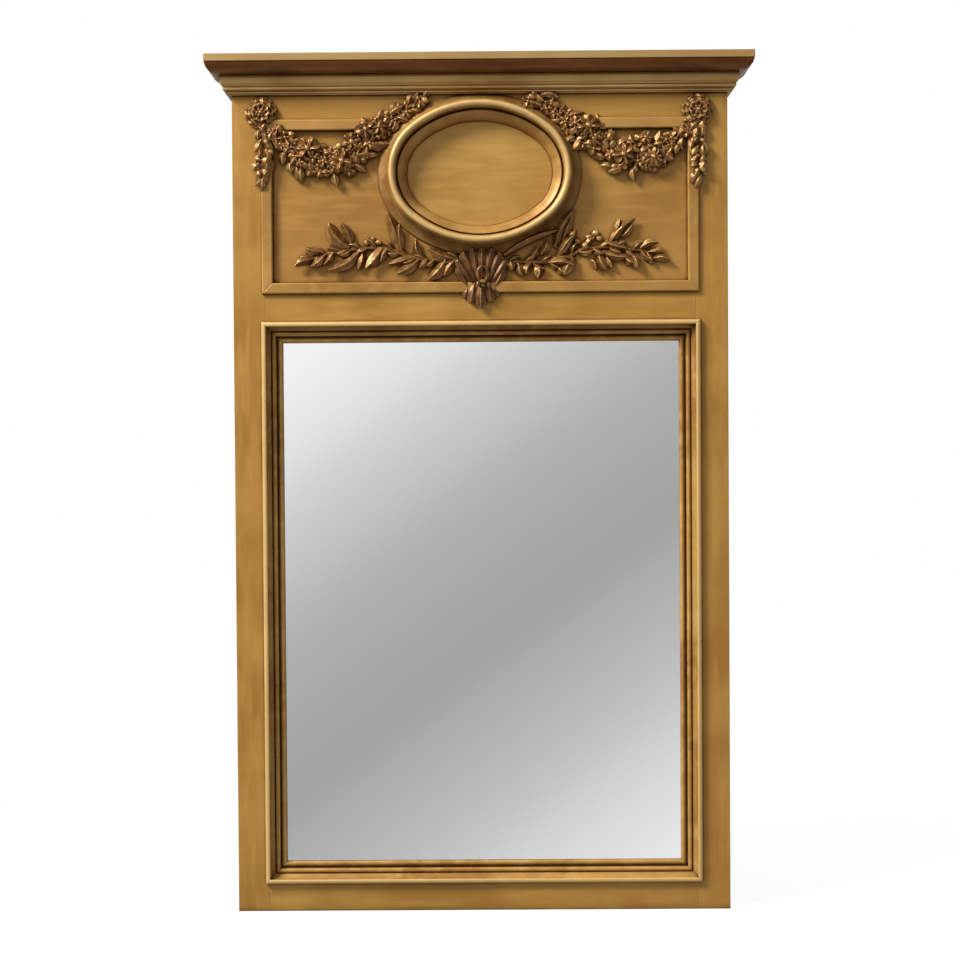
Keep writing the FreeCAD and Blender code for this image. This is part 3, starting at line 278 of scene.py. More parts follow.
def carve(relief, name, node, finish="gilt"):
    """Fuse the shells into one carved solid, soften it like gesso, and let it stand for its node."""
    mesh = bpy.data.meshes.new(name)
    root = PANEL_OUT - ROOT_DEPTH
    points = [(x * MM, -max(out, root) * MM, z * MM) for x, out, z in relief.points]
    mesh.from_pydata(points, [], relief.faces)
    piece = add_object(name, mesh)
    remesh = piece.modifiers.new("fuse", "REMESH")
    remesh.mode = "VOXEL"
    remesh.voxel_size = VOXEL
    soften = piece.modifiers.new("gesso", "SMOOTH")
    soften.factor = SOFTEN
    soften.iterations = SOFTEN_ROUNDS
    thin = piece.modifiers.new("thin", "DECIMATE")
    thin.ratio = KEEP_FACES
    bpy.context.view_layer.update()
    fused = bpy.data.meshes.new_from_object(piece.evaluated_get(bpy.context.evaluated_depsgraph_get()))
    piece.modifiers.clear()
    piece.data = fused
    mark_crests(fused)
    fused.polygons.foreach_set("use_smooth", [True] * len(fused.polygons))
    piece.data.materials.clear()
    piece.data.materials.append(CARVED[finish])
    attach(piece, "mirror")
    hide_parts(node)


CREST_ROUNDS = 14           # how often the surroundings are averaged


def mark_crests(mesh):
    """Store how far each point stands out of its surroundings, in mm: rubbed gold with a painted highlight
    where it is high.
    """
    count = len(mesh.vertices)
    co = np.empty(count * 3)
    mesh.vertices.foreach_get("co", co)
    co = co.reshape(-1, 3)
    normals = np.empty(count * 3)
    mesh.vertices.foreach_get("normal", normals)
    edges = np.empty(len(mesh.edges) * 2, dtype=np.int64)
    mesh.edges.foreach_get("vertices", edges)
    a, b = edges.reshape(-1, 2).T
    degree = np.maximum(np.bincount(a, minlength=count) + np.bincount(b, minlength=count), 1)
    smooth = co.copy()
    for _ in range(CREST_ROUNDS):
        total = np.empty_like(smooth)
        for k in range(3):
            around = np.bincount(a, smooth[b, k], count) + np.bincount(b, smooth[a, k], count)
            total[:, k] = around / degree
        smooth = total
    height = np.einsum("ij,ij->i", co - smooth, normals.reshape(-1, 3)) / MM
    attribute = mesh.attributes.new("crest", "FLOAT", "POINT")
    attribute.data.foreach_set("value", height.astype(np.float32))


# ---------------- materials
def srgb(r, g, b):
    """Colour written as 0-255 screen values, as linear light."""
    def lin(v):
        v = v / 255
        return v / 12.92 if v <= 0.04045 else ((v + 0.055) / 1.055) ** 2.4
    return (lin(r), lin(g), lin(b), 1.0)


RANGE_SOCKETS = ("From Min", "From Max", "To Min", "To Max")


class Nodes:
    """A node tree under construction."""

    def __init__(self, tree):
        self.tree = tree

    def node(self, kind, **settings):
        node = self.tree.nodes.new(kind)
        for key, value in settings.items():
            setattr(node, key, value)
        return node

    def feed(self, socket, value):
        if isinstance(value, bpy.types.NodeSocket):
            self.tree.links.new(value, socket)
        else:
            socket.default_value = value

    def split(self, vector):
        """A vector's x, y and z."""
        axes = self.node("ShaderNodeSeparateXYZ")
        self.feed(axes.inputs[0], vector)
        return axes.outputs

    def math(self, operation, a, b=0.0, clamp=False):
        node = self.node("ShaderNodeMath", operation=operation, use_clamp=clamp)
        self.feed(node.inputs[0], a)
        self.feed(node.inputs[1], b)
        return node.outputs[0]

    def times(self, a, b, clamp=False):
        return self.math("MULTIPLY", a, b, clamp)

    def larger(self, a, b):
        return self.math("MAXIMUM", a, b)

    def span(self, value, low, high, to_low=0.0, to_high=1.0):
        """A value that passes smoothly from to_low at low to to_high at high."""
        node = self.node("ShaderNodeMapRange", interpolation_type="SMOOTHSTEP")
        self.feed(node.inputs["Value"], value)
        for socket, number in zip(RANGE_SOCKETS, (low, high, to_low, to_high)):
            node.inputs[socket].default_value = number
        return node.outputs["Result"]

    def mix(self, factor, a, b):
        """Two colours mixed: a at 0, b at 1."""
        node = self.node("ShaderNodeMix", data_type="RGBA")
        self.feed(node.inputs[0], factor)
        self.feed(node.inputs[6], a)
        self.feed(node.inputs[7], b)
        return node.outputs[2]

    def blend(self, factor, a, b):
        """Two shaders mixed: a at 0, b at 1."""
        node = self.node("ShaderNodeMixShader")
        for socket, value in zip(node.inputs, (factor, a, b)):
            self.feed(socket, value)
        return node.outputs[0]


class Shader(Nodes):
    """A node material under construction; sizes of patterns are given in millimetres."""

    def __init__(self, name):
        self.material = bpy.data.materials.new(name)
        self.material.use_nodes = True
        super().__init__(self.material.node_tree)
        self.out = self.tree.nodes["Principled BSDF"]
        self.place = self.node("ShaderNodeTexCoord").outputs["Object"]

    def noise(self, size, detail=3.0, rough=0.55, stretch=(1, 1, 1), shift=0.0, warp=0.0):
        mapping = self.node("ShaderNodeMapping")
        self.feed(mapping.inputs["Vector"], self.place)
        mapping.inputs["Location"].default_value = (shift, shift * 2, shift * 3)
        mapping.inputs["Scale"].default_value = [1 / (size * MM * s) for s in stretch]
        noise = self.node("ShaderNodeTexNoise")
        self.feed(noise.inputs["Vector"], mapping.outputs["Vector"])
        noise.inputs["Scale"].default_value = 1.0
        noise.inputs["Detail"].default_value = detail
        noise.inputs["Roughness"].default_value = rough
        noise.inputs["Distortion"].default_value = warp
        return noise.outputs["Fac"]

    def behind(self):
        """1 on faces that look at the wall, 0 on all others."""
        normal = self.split(self.place.node.outputs["Normal"])
        return self.span(normal["Y"], 0.5, 0.9)

    def occlusion(self, reach):
        node = self.node("ShaderNodeAmbientOcclusion", samples=8)
        node.inputs["Distance"].default_value = reach * MM
        return node.outputs["AO"]

    def rounded(self, radius):
        """The normal of the surface as if its edges were rounded."""
        bevel = self.node("ShaderNodeBevel", samples=6)
        bevel.inputs["Radius"].default_value = radius * MM
        return bevel.outputs["Normal"]

    def edges(self, rounded):
        """1 along edges, 0 on flat faces: how far the rounded normal leans from the true one."""
        geometry = self.node("ShaderNodeNewGeometry")
        dot = self.node("ShaderNodeVectorMath", operation="DOT_PRODUCT")
        self.feed(dot.inputs[0], rounded)
        self.feed(dot.inputs[1], geometry.outputs["Normal"])
        return self.span(dot.outputs["Value"], 0.97, 0.8)

    def bump(self, height, strength, depth, normal=None):
        node = self.node("ShaderNodeBump")
        node.inputs["Strength"].default_value = strength
        node.inputs["Distance"].default_value = depth * MM
        self.feed(node.inputs["Height"], height)
        if normal is not None:
            self.feed(node.inputs["Normal"], normal)
        return node.outputs["Normal"]

    def finish(self, color, roughness, normal, metallic=0.0):
        self.feed(self.out.inputs["Base Color"], color)
        self.feed(self.out.inputs["Roughness"], roughness)
        self.feed(self.out.inputs["Metallic"], metallic)
        if normal is not None:
            self.feed(self.out.inputs["Normal"], normal)
        return self.material


GLAZE = srgb(76, 34, 5)
CARVING_GLAZE = srgb(58, 26, 4)
CARVING_GOLD_AND_HIGHLIGHT = srgb(206, 168, 106)
BARE_LIGHT = srgb(200, 168, 126)
BARE_DARK = srgb(172, 136, 94)
WORN_GOLD_AND_HIGHLIGHT = srgb(224, 188, 122)
CORNER_BROWN = srgb(70, 48, 30)
STAIN = srgb(120, 92, 62)
# How strongly each layer of the gold finish, its painted shade and its painted highlight shows over the one
# beneath it.
BRUSH_SHARE, PATCH_SHARE, CREST_SHARE, SPECK_SHARE = 0.5, 0.22, 0.7, 0.16
FAR_SHADE_SHARE, SHADED_SHARE, LOW_SHADE_SHARE = 0.55, 0.6, 0.38
GILT_METAL, CARVING_METAL = 0.24, 0.45
# In the gilt, painted shade takes away the sheen and the metal as the glaze does.
SHEEN = 0.3                 # specular level where no glaze lies
GRAIN_STRETCH = 7
# How wide worn edges are, in mm.
GILT_EDGE, WOOD_EDGE, ZINC_EDGE = 2.4, 1.0, 0.3


def long_grain(grain):
    """The stretch of wood grain that runs the way of the brush marks."""
    return [share * GRAIN_STRETCH if share > 1 else share for share in grain]


def gilt(name, light, mid, dark, grain=(1, 1, 1), near_reach=6.0, shade_reach=24.0, glaze=1.0, rub=0.5,
         crest=None, shade_below=None, shaded=None):
    """Antique gold: softly clouded, glazed dark in the hollows with painted shade near larger parts,
    rubbed bright on edges, and rubbed bright with a painted highlight on crests.

    Its tones are 0-255 screen values. crest is the (low, high) height out from the wall over which it
    brightens, as rubbed gold and a painted highlight; sunk the (low, high) height out below which painted
    shade browns it; and shaded the (low, high) height above the base over which painted shade darkens it.
    """
    light, mid, dark = srgb(*light), srgb(*mid), srgb(*dark)
    s = Shader(name)
    clouds = s.noise(150, detail=3.0, rough=0.5, shift=3.1)
    color = s.mix(s.span(clouds, 0.34, 0.66), dark, mid)
    brush = s.noise(26, detail=3.0, rough=0.5, stretch=grain, shift=7.7)
    color = s.mix(s.times(s.span(brush, 0.4, 0.75), BRUSH_SHARE), color, light)
    patches = s.noise(60, detail=3.0, rough=0.6, shift=1.3, warp=0.4)
    color = s.mix(s.times(s.span(patches, 0.55, 0.8), PATCH_SHARE), color, dark)
    _, back, up = s.split(s.place)
    out = s.times(back, -1.0)
    # Rubbed gold and a painted highlight on the crest, by height out from the wall.
    if crest:
        high = s.span(out, crest[0] * MM, crest[1] * MM)
        color = s.mix(s.times(high, CREST_SHARE), color, WORN_GOLD_AND_HIGHLIGHT)
    near = s.span(s.occlusion(near_reach), 0.92, 0.4)
    # Painted shade: darker where larger parts stand near, out to the longer reach, laid over the glaze in
    # the small hollows.
    far = s.span(s.occlusion(shade_reach), 0.88, 0.3)
    broken = s.span(s.noise(30, detail=3.0, rough=0.5, shift=9.1), 0.3, 0.75, 0.8, 1.15)
    darkened = s.larger(near, s.times(far, FAR_SHADE_SHARE))
    darkened = s.times(s.times(darkened, broken), glaze, clamp=True)
    # Painted shade under an overhang: dark over the given height above the base.
    if shaded:
        under = s.times(s.span(up, shaded[0] * MM, shaded[1] * MM), SHADED_SHARE)
        darkened = s.larger(darkened, under)
    # Painted shade on low slopes: browner below the given height out from the wall.
    if shade_below:
        low = s.span(out, shade_below[0] * MM, shade_below[1] * MM, LOW_SHADE_SHARE, 0.0)
        darkened = s.larger(darkened, low)
    color = s.mix(darkened, color, GLAZE)
    rounded = s.rounded(GILT_EDGE)
    rubbed = s.span(s.noise(24, 3.0, 0.5, shift=5.5), 0.35, 0.7)
    worn = s.times(s.times(s.edges(rounded), rubbed), rub)
    worn = s.times(worn, s.math("SUBTRACT", 1.0, darkened), clamp=True)
    color = s.mix(worn, color, WORN_GOLD_AND_HIGHLIGHT)
    specks = s.span(s.noise(3.2, 2.0, 0.5, shift=2.2), 0.72, 0.8)
    color = s.mix(s.times(specks, SPECK_SHARE), color, GLAZE)
    behind = s.behind()
    lines = s.noise(2.6, 5.0, 0.6, stretch=long_grain(grain), shift=1.9)
    ungilt = s.mix(s.span(lines, 0.35, 0.7), BARE_LIGHT, BARE_DARK)
    color = s.mix(behind, color, ungilt)
    rough = s.math("ADD", s.span(brush, 0.3, 0.8, 0.42, 0.5), s.times(darkened, 0.25))
    rough = s.math("ADD", rough, s.times(behind, 0.25), clamp=True)
    fine = s.math("ADD", s.times(brush, 0.5), s.times(s.noise(4.0, 3.0, 0.6), 0.5))
    normal = s.bump(fine, 0.25, 0.35, rounded)
    bare = s.math("SUBTRACT", 1.0, s.larger(darkened, behind), clamp=True)
    s.feed(s.out.inputs["Specular IOR Level"], s.times(bare, SHEEN))
    return s.finish(color, rough, normal, s.times(bare, GILT_METAL))


def gilt_carving(name, deep, mid):
    """Bronze gold carving: dark glaze over all of it, gold rubbed onto what stands out and painted there as
    a highlight too.
    """
    s = Shader(name)
    tone = s.span(s.noise(14, 3.0, 0.5, shift=4.4), 0.35, 0.7)
    color = s.mix(tone, deep, mid)
    crest = s.node("ShaderNodeAttribute", attribute_name="crest").outputs["Fac"]
    broken = s.span(s.noise(7, 3.0, 0.6, shift=8.2), 0.3, 0.7, 0.55, 1.15)
    # Rubbed gold and a painted highlight on what stands out of its surroundings.
    gold = s.times(s.span(crest, 0.4, 1.8), broken, clamp=True)
    color = s.mix(gold, color, CARVING_GOLD_AND_HIGHLIGHT)
    covered = s.span(s.occlusion(7.0), 0.75, 0.25)
    low = s.span(crest, -0.1, -0.8)
    darkened = s.times(s.larger(covered, low), 0.85, clamp=True)
    color = s.mix(darkened, color, CARVING_GLAZE)
    rough = s.math("ADD", s.span(tone, 0, 1, 0.34, 0.44), s.times(darkened, 0.3))
    grain = s.noise(2.4, 3.0, 0.6)
    bare = s.math("SUBTRACT", 1.0, darkened, clamp=True)
    s.feed(s.out.inputs["Specular IOR Level"], s.times(bare, SHEEN))
    return s.finish(color, rough, s.bump(grain, 0.2, 0.3), s.times(bare, CARVING_METAL))


def wood(name, light, dark, grain=(1, 1, 1)):
    """Bare wood with long grain, darker brown in its corners and near other parts, and faint stains."""
    s = Shader(name)
    lines = s.noise(2.6, 5.0, 0.6, stretch=long_grain(grain), shift=1.9)
    broad = s.noise(18, 3.0, 0.5, stretch=long_grain(grain), shift=6.1, warp=0.4)
    color = s.mix(s.span(lines, 0.35, 0.7), light, dark)
    color = s.mix(s.times(s.span(broad, 0.45, 0.7), 0.4), color, dark)
    # Darker brown where other parts stand within 18 mm.
    near_parts = s.span(s.occlusion(18.0), 0.9, 0.4)
    color = s.mix(s.times(near_parts, 0.6), color, CORNER_BROWN)
    stain = s.span(s.noise(120, 4.0, 0.6, shift=2.7), 0.5, 0.75)
    color = s.mix(s.times(stain, 0.25), color, STAIN)
    normal = s.bump(lines, 0.3, 0.4, s.rounded(WOOD_EDGE))
    return s.finish(color, s.span(lines, 0.3, 0.7, 0.62, 0.8), normal)


def silvered_glass(name):
    """Clear mirror glass with a faint cloudiness in its silvering."""
    s = Shader(name)
    bloom = s.span(s.noise(160, 4.0, 0.6, shift=5.1), 0.5, 0.8)
    color = s.mix(s.times(bloom, 0.05), srgb(244, 246, 245), srgb(226, 228, 226))
    rough = s.span(s.noise(60, 3.0, 0.6, shift=1.1), 0.4, 0.8, 0.012, 0.03)
    return s.finish(color, rough, None, 1.0)


def zinc(name, light, dark):
    """Zinc-plated steel with rolling marks and a little tarnish."""
    s = Shader(name)
    marks = s.noise(1.6, 3.0, 0.6, stretch=(1, 1, 8))
    tarnish = s.span(s.noise(7, 4.0, 0.6, shift=3.3), 0.5, 0.75)
    color = s.mix(s.times(tarnish, 0.5), light, dark)
    normal = s.bump(marks, 0.15, 0.1, s.rounded(ZINC_EDGE))
    return s.finish(color, s.span(marks, 0.3, 0.7, 0.28, 0.42), normal, 0.9)


# How the grain and the brush marks are stretched on upright and on level members.
UP = (0.6, 1, 4)
ALONG = (4, 1, 0.6)
CARVED = {"gilt": gilt_carving("gilt_carving", srgb(104, 68, 28), srgb(140, 98, 48)),
          "brown": gilt_carving("brown_carving", srgb(80, 48, 16), srgb(112, 74, 32))}


def dress(material, *names):
    """Give the material to the named nodes; a name that ends in _ stands for all that begin with it."""
    for node, piece in NODES.items():
        if any(node == name or (name.endswith("_") and node.startswith(name)) for name in names):
            piece.data.materials.clear()
            piece.data.materials.append(material)


def dress_nodes():
    """Make the materials and give each to its pieces."""
    dress(gilt("frame_up", (198, 152, 77), (183, 137, 64), (164, 118, 50), UP),
          "stile_left", "stile_right")
    dress(gilt("frame_along", (198, 153, 77), (183, 137, 64), (164, 119, 50), ALONG),
          "middle_rail", "bottom_rail", "tenon_pegs")
    # Painted shade under the cornice: the top rail's gold is darker than the other rails', and its painted
    # shade reaches farther.
    dress(gilt("frame_top", (192, 147, 73), (176, 130, 59), (157, 112, 46), ALONG,
               shade_reach=60.0), "top_rail")
    dress(gilt("frieze_field", (192, 146, 75), (178, 132, 64), (160, 114, 52), ALONG,
               near_reach=9.0, shade_reach=34.0), "frieze_panel")
    dress(gilt("oval_field", (204, 160, 86), (191, 147, 75), (172, 128, 61), ALONG,
               near_reach=9.0, shade_reach=30.0), "oval_plaque")
    dress(gilt("cap_edge", (182, 150, 97), (175, 142, 88), (167, 133, 79), ALONG),
          "cap_board")
    dress(gilt("gilt_band", (194, 150, 82), (178, 134, 68), (156, 112, 52), glaze=1.3),
          "frieze_band_")
    # The moulding's nose is rubbed bright and given a painted highlight.
    dress(gilt("gilt_moulding", (206, 166, 98), (180, 138, 72), (150, 106, 48), glaze=1.35,
               crest=(NOSE_OUT - 6.0, NOSE_OUT)), "glass_moulding_", "sight_slip_")
    # Painted shade: the ovolo's gold is darker than the rest, and darker still at its top under the fascia.
    dress(gilt("gilt_ovolo", (160, 112, 54), (126, 80, 32), (100, 58, 18), ALONG, rub=0.2,
               shaded=(OVOLO_LOW + 4.0, OVOLO_LOW + 16.0)), "cornice_ovolo_")
    # Painted light: the bed's gold is lighter than the rest, with painted shade along its top under the
    # ovolo.
    dress(gilt("gilt_bed", (236, 196, 130), (212, 170, 102), (182, 138, 76), ALONG,
               glaze=1.5, shaded=(OVOLO_LOW - 7.0, OVOLO_LOW - 3.5)), "cornice_bed_")
    # The oval's crest gets a painted highlight over its rubbed gold, and its lower slopes get painted
    # shade.
    dress(gilt("gilt_oval", (206, 168, 100), (182, 140, 74), (150, 106, 50), glaze=1.3,
               crest=(CREST_OUT - 3.5, CREST_OUT), shade_below=(CREST_OUT - 14.0, CREST_OUT - 5.0)), "oval_frame")
    dress(gilt("gilt_lip", (200, 158, 90), (178, 134, 70), (150, 106, 48), glaze=0.85,
               near_reach=9.0), "oval_lip")
    dress(CARVED["gilt"], "laurel_spray_", "acanthus_cartouche", "swag_", "drop_", "rosette_")
    dress(wood("bare_up", BARE_LIGHT, BARE_DARK, UP), "back_side_", "plate_chocks")
    dress(wood("bare_along", BARE_LIGHT, BARE_DARK, ALONG), "back_bottom_bar", "back_top_bar",
          "hanging_rail")
    dress(wood("back_board", srgb(182, 148, 104), srgb(150, 114, 74), UP), "back_board")
    dress(silvered_glass("mirror_plate"), "mirror_plate")
    dress(zinc("screws", srgb(190, 190, 184), srgb(120, 112, 98)), "back_frame_screws",
          "hanging_rail_screws", "back_board_screws", "hanger_screws")
    dress(zinc("hanger_metal", srgb(204, 200, 188), srgb(132, 122, 98)), "hanger_strap_", "d_ring_")


# ---------------- the carvings
# Leaves are (base x, base z, tip x, tip z, width), buds (x, z, radius) and stems (x, z, radius), in mm
# from the oval's centre.
SPRAY_LEAVES = {
    "left": [
        (-318, -159, -353, -173, 14), (-303, -147, -332, -138, 12), (-294, -150, -321, -173, 13),
        (-248, -138, -287, -92, 28), (-244, -134, -264, -90, 17), (-250, -140, -272, -150, 11),
        (-228, -144, -288, -181, 20), (-223, -148, -232, -180, 15), (-186, -140, -217, -178, 22),
        (-177, -140, -189, -165, 15), (-154, -144, -176, -73, 19), (-150, -144, -153, -94, 16),
        (-113, -158, -122, -122, 16), (-131, -158, -174, -170, 15), (-117, -162, -159, -189, 19),
        (-101, -161, -115, -177, 11), (-65, -161, -99, -200, 25), (-46, -161, -69, -192, 22),
        (-49, -160, -99, -140, 15)],
    "right": [
        (44, -153, 147, -108, 14), (142, -140, 180, -67, 21), (156, -131, 177, -80, 15),
        (165, -128, 182, -106, 13), (147, -158, 179, -115, 15), (131, -165, 177, -161, 15),
        (129, -169, 179, -176, 13), (115, -153, 129, -124, 14), (96, -160, 110, -137, 14),
        (248, -129, 294, -86, 18), (253, -113, 265, -87, 14), (269, -120, 289, -97, 13),
        (237, -131, 278, -143, 19), (232, -150, 280, -159, 17), (303, -143, 339, -132, 14),
        (328, -146, 347, -152, 10), (328, -162, 360, -165, 14), (317, -152, 326, -172, 12),
        (287, -154, 297, -181, 16), (275, -161, 291, -171, 14), (225, -154, 239, -184, 18),
        (239, -159, 250, -179, 14), (211, -163, 220, -181, 14), (177, -163, 158, -192, 21),
        (147, -176, 161, -190, 14), (110, -172, 109, -198, 19), (94, -171, 87, -190, 15),
        (73, -167, 78, -193, 18), (55, -164, 60, -183, 15)]}
SPRAY_BUDS = {
    "left": [(-215, -128, 5.5), (-204, -122, 5), (-193, -128, 5.5), (-333, -150, 4)],
    "right": [(184, -129, 6), (200, -138, 7), (207, -122, 7), (219, -114, 7), (226, -123, 6)]}
SPRAY_STEMS = {
    "left": [(-30, -163, 5), (-117, -160, 5), (-175, -141, 4.5), (-228, -140, 4.5), (-294, -150, 4),
             (-324, -161, 3)],
    "right": [(30, -164, 5), (76, -167, 5), (122, -167, 5), (165, -158, 5), (198, -143, 4.5),
              (248, -140, 4.5), (285, -145, 4), (308, -147, 4), (328, -156, 3)]}
SPRAY_FULL = 1.15           # leaves are a little wider than drawn, so that they overlap
SPRAY_RIDGE, SPRAY_FOLD, SPRAY_THICK = 2.0, 0.7, 6.0
STEM_SHARE, STEM_HEIGHT = 0.8, 0.7      # of the radius drawn
FILL_STEP = 13.0            # spacing of the small leaves that hide the stem
STEM_STEPS, GARLAND_STEPS = 12, 10      # points between two given ones


def fill_stem(relief, stem):
    """Small leaves that lie on the stem, turned outward to one side and the other."""
    draw = relief.random.uniform
    fine = smooth_line(stem, STEM_STEPS)
    gone, side = 0.0, 1
    for (x, z, *_), (nx, nz, *_) in zip(fine, fine[1:]):
        step = math.hypot(nx - x, nz - z)
        gone += step
        if gone < FILL_STEP or step == 0:
            continue
        gone, side = 0.0, -side
        turn = math.atan2(nz - z, nx - x) + side * draw(0.25, 0.75)
        length = draw(22, 30)
        leaf(relief, (x, z), toward(x, z, length, turn), draw(11, 14), lift=draw(1.5, 3.5),
             crown=draw(5.0, 8.0), tip_lift=draw(-1.0, 3.0), bend=-side * draw(0.04, 0.14),
             ridge=SPRAY_RIDGE, fold=SPRAY_FOLD, tilt=draw(-0.4, 0.4), thick=SPRAY_THICK)


def laurel_spray(side, seed):
    """A laurel branch that lies to one side of the cartouche."""
    relief = Relief(seed)
    draw = relief.random.uniform
    stem = [(OVAL.x + x, OVAL.z + z, r * STEM_SHARE, r * STEM_HEIGHT) for x, z, r in SPRAY_STEMS[side]]
    tube(relief, stem)
    for bx, bz, tx, tz, width in SPRAY_LEAVES[side]:
        leaf(relief, (OVAL.x + bx, OVAL.z + bz), (OVAL.x + tx, OVAL.z + tz), width * SPRAY_FULL,
             lift=draw(2.5, 5.0), crown=draw(6.0, 9.5), tip_lift=draw(-1.0, 5.0),
             bend=relief.random.choice((-1, 1)) * draw(0.04, 0.12), ridge=SPRAY_RIDGE, fold=SPRAY_FOLD,
             tilt=draw(-0.45, 0.45), veins=VEIN_HEIGHT, thick=SPRAY_THICK)
    fill_stem(relief, stem)
    for x, z, radius in SPRAY_BUDS[side]:
        ball(relief, OVAL.x + x, OVAL.z + z, radius, stretch=1.15, turn=draw(0, 3.1))
    carve(relief, "carved_laurel_" + side, "laurel_spray_" + side)


# The swags hang from the rosettes: places in mm from the rosette's centre, x towards the oval.
SWAG_LEAVES = {
    "left": [
        (13, -27, 29, -65, 15), (22, -28, 39, -70, 15), (52, -42, 64, -39, 12), (66, -60, 48, -44, 12),
        (66, -70, 47, -76, 12), (73, -71, 52, -61, 12), (78, -80, 56, -97, 15), (80, -85, 73, -111, 15),
        (92, -87, 95, -113, 15), (105, -85, 112, -112, 15), (119, -75, 136, -112, 22),
        (124, -78, 143, -98, 22), (129, -74, 114, -78, 15), (187, -67, 179, -95, 19),
        (201, -62, 201, -88, 19), (211, -56, 226, -64, 15), (192, -28, 182, -28, 12),
        (228, -26, 231, 2, 15), (232, -42, 262, -2, 20), (211, -26, 189, -11, 15),
        (243, -5, 270, 12, 13), (255, 3, 303, 24, 17), (294, 19, 313, 31, 15), (247, -36, 255, -15, 15)],
    "right": [
        (296, 31, 264, 26, 14), (262, 16, 296, 9, 16), (264, -6, 251, 13, 17), (247, -11, 219, -3, 15),
        (247, -29, 240, -48, 15), (230, -29, 240, -46, 12), (173, -61, 156, -39, 13),
        (168, -71, 158, -56, 13), (183, -66, 168, -76, 15), (151, -66, 134, -54, 13),
        (139, -66, 121, -60, 13), (116, -57, 109, -45, 15), (97, -57, 102, -44, 15),
        (84, -64, 72, -40, 15), (89, -72, 87, -90, 17), (99, -72, 109, -88, 15), (70, -67, 55, -77, 15),
        (57, -60, 38, -57, 12), (50, -67, 42, -79, 12), (55, -52, 37, -40, 12), (37, -48, 20, -35, 11),
        (35, -57, 28, -74, 12), (252, -51, 228, -58, 13), (198, -51, 176, -42, 14),
        (203, -41, 198, -68, 13), (188, -22, 174, -34, 12)]}
# Flowers are (x, z, radius, petals).
SWAG_FLOWERS = {
    "left": [(88, -68, 26, 6), (153, -92, 21, 4), (172, -57, 21, 6), (198, -33, 21, 6), (224, -28, 18, 6)],
    "right": [(208, -29, 25, 7), (232, -24, 15, 6), (141, -84, 24, 7), (84, -89, 22, 9), (99, -52, 14, 6)]}
SWAG_BUDS = {
    "left": [(148, -64, 9), (254, 10, 7), (265, 1, 6), (311, 22, 9), (240, -14, 6)],
    "right": [(314, 27, 9), (205, -60, 9), (182, -46, 8), (159, -106, 8), (139, -106, 8), (103, -97, 7),
              (92, -102, 7), (77, -102, 7), (65, -95, 8), (173, -71, 7), (62, -46, 5)]}
# The garland's middle line and half width.
SWAG_LINES = {
    "left": [(20, -28, 9), (38, -52, 14), (54, -70, 21), (81, -87, 30), (116, -93, 23), (150, -93, 28),
             (183, -69, 24), (212, -40, 25), (244, -11, 16), (270, 4, 13), (299, 21, 9), (320, 25, 6)],
    "right": [(12, -26, 9), (38, -54, 14), (58, -68, 22), (81, -78, 30), (118, -87, 24), (147, -93, 25),
              (176, -72, 22), (201, -47, 26), (230, -31, 21), (255, -7, 14), (281, 7, 11), (310, 19, 9),
              (328, 22, 6)]}
SWAG_RISE = 12.0
SWAG_FULL = 1.1             # leaves are a little wider than drawn, so that they overlap
FLOWER_SHARE, BUD_SHARE = 0.9, 0.75         # of the radius drawn
# Heights over the panel.
CORE_OUT, LEAF_OUT, BUD_OUT, FLOWER_OUT = 1.0, 2.0, 7.0, 14.5
GARLAND_STEP = 10.0         # spacing of the small leaves, blossoms and buds along a garland
GARLAND_ROW = 14.0          # and across it
CORE_WIDE, CORE_HIGH = 0.62, 0.3            # of the garland's half width and rise
BUDS_FROM = 0.96            # draws above this are buds
GROWTH_OUT = 2.0            # how far the growth stands over the garland's level at its sides


def garland(relief, line, rise, level, blossoms=0.45, lean=1.6, pitch=GARLAND_STEP):
    """A thick bunch along a line of (x, z, half width): a soft core covered with small growth.

    blossoms is the share of blossoms, and lean how much the growth turns outward at the sides.
    """
    draw = relief.random.uniform
    core = [(x, z, half * CORE_WIDE, rise * CORE_HIGH) for x, z, half in line]
    tube(relief, core, flat=rise * CORE_WIDE, level=level)
    fine = smooth_line(line, GARLAND_STEPS)
    gone = pitch
    for (x, z, half), (nx, nz, _) in zip(fine, fine[1:]):
        step = math.hypot(nx - x, nz - z)
        gone += step
        if gone < pitch or step == 0:
            continue
        gone = 0.0
        ax, az = (nx - x) / step, (nz - z) / step
        rows = max(2, round(2 * half / GARLAND_ROW))
        for i in range(rows):
            u = -1 + (2 * i + 1) / rows + draw(-0.14, 0.14)
            along = draw(-0.5, 0.5) * pitch
            px, pz = x + ax * along + az * half * u, z + az * along - ax * half * u
            out = level + GROWTH_OUT + rise * math.sqrt(max(0.0, 1 - u * u)) * draw(0.72, 1.0)
            growth(relief, px, pz, out, (ax + az * u * lean, az - ax * u * lean), blossoms)


def growth(relief, x, z, out, way, blossoms):
    """One blossom, leaf or bud at a place in a bunch, leaning the given way."""
    draw = relief.random.uniform
    kind = relief.random.random()
    if kind < blossoms:
        flower(relief, x, z, draw(10.0, 14.0), out, petals=relief.random.choice((4, 5)),
               turn=draw(0, 1.2), droop=0.6, heart=0.22, seeds=0)
    elif kind < BUDS_FROM:
        turn = math.atan2(way[1], way[0]) + draw(-0.6, 0.6)
        length = draw(18, 27)
        leaf(relief, (x, z), toward(x, z, length, turn), draw(12, 16), lift=-1.0, crown=draw(3.0, 5.5),
             tip_lift=draw(-7.0, -3.0), bend=draw(-0.12, 0.12), ridge=1.5, tilt=draw(-0.35, 0.35),
             thick=5.0, level=out)
    else:
        ball(relief, x, z, draw(3.6, 5.2), out=out, stretch=1.2, turn=draw(0, 3.1))


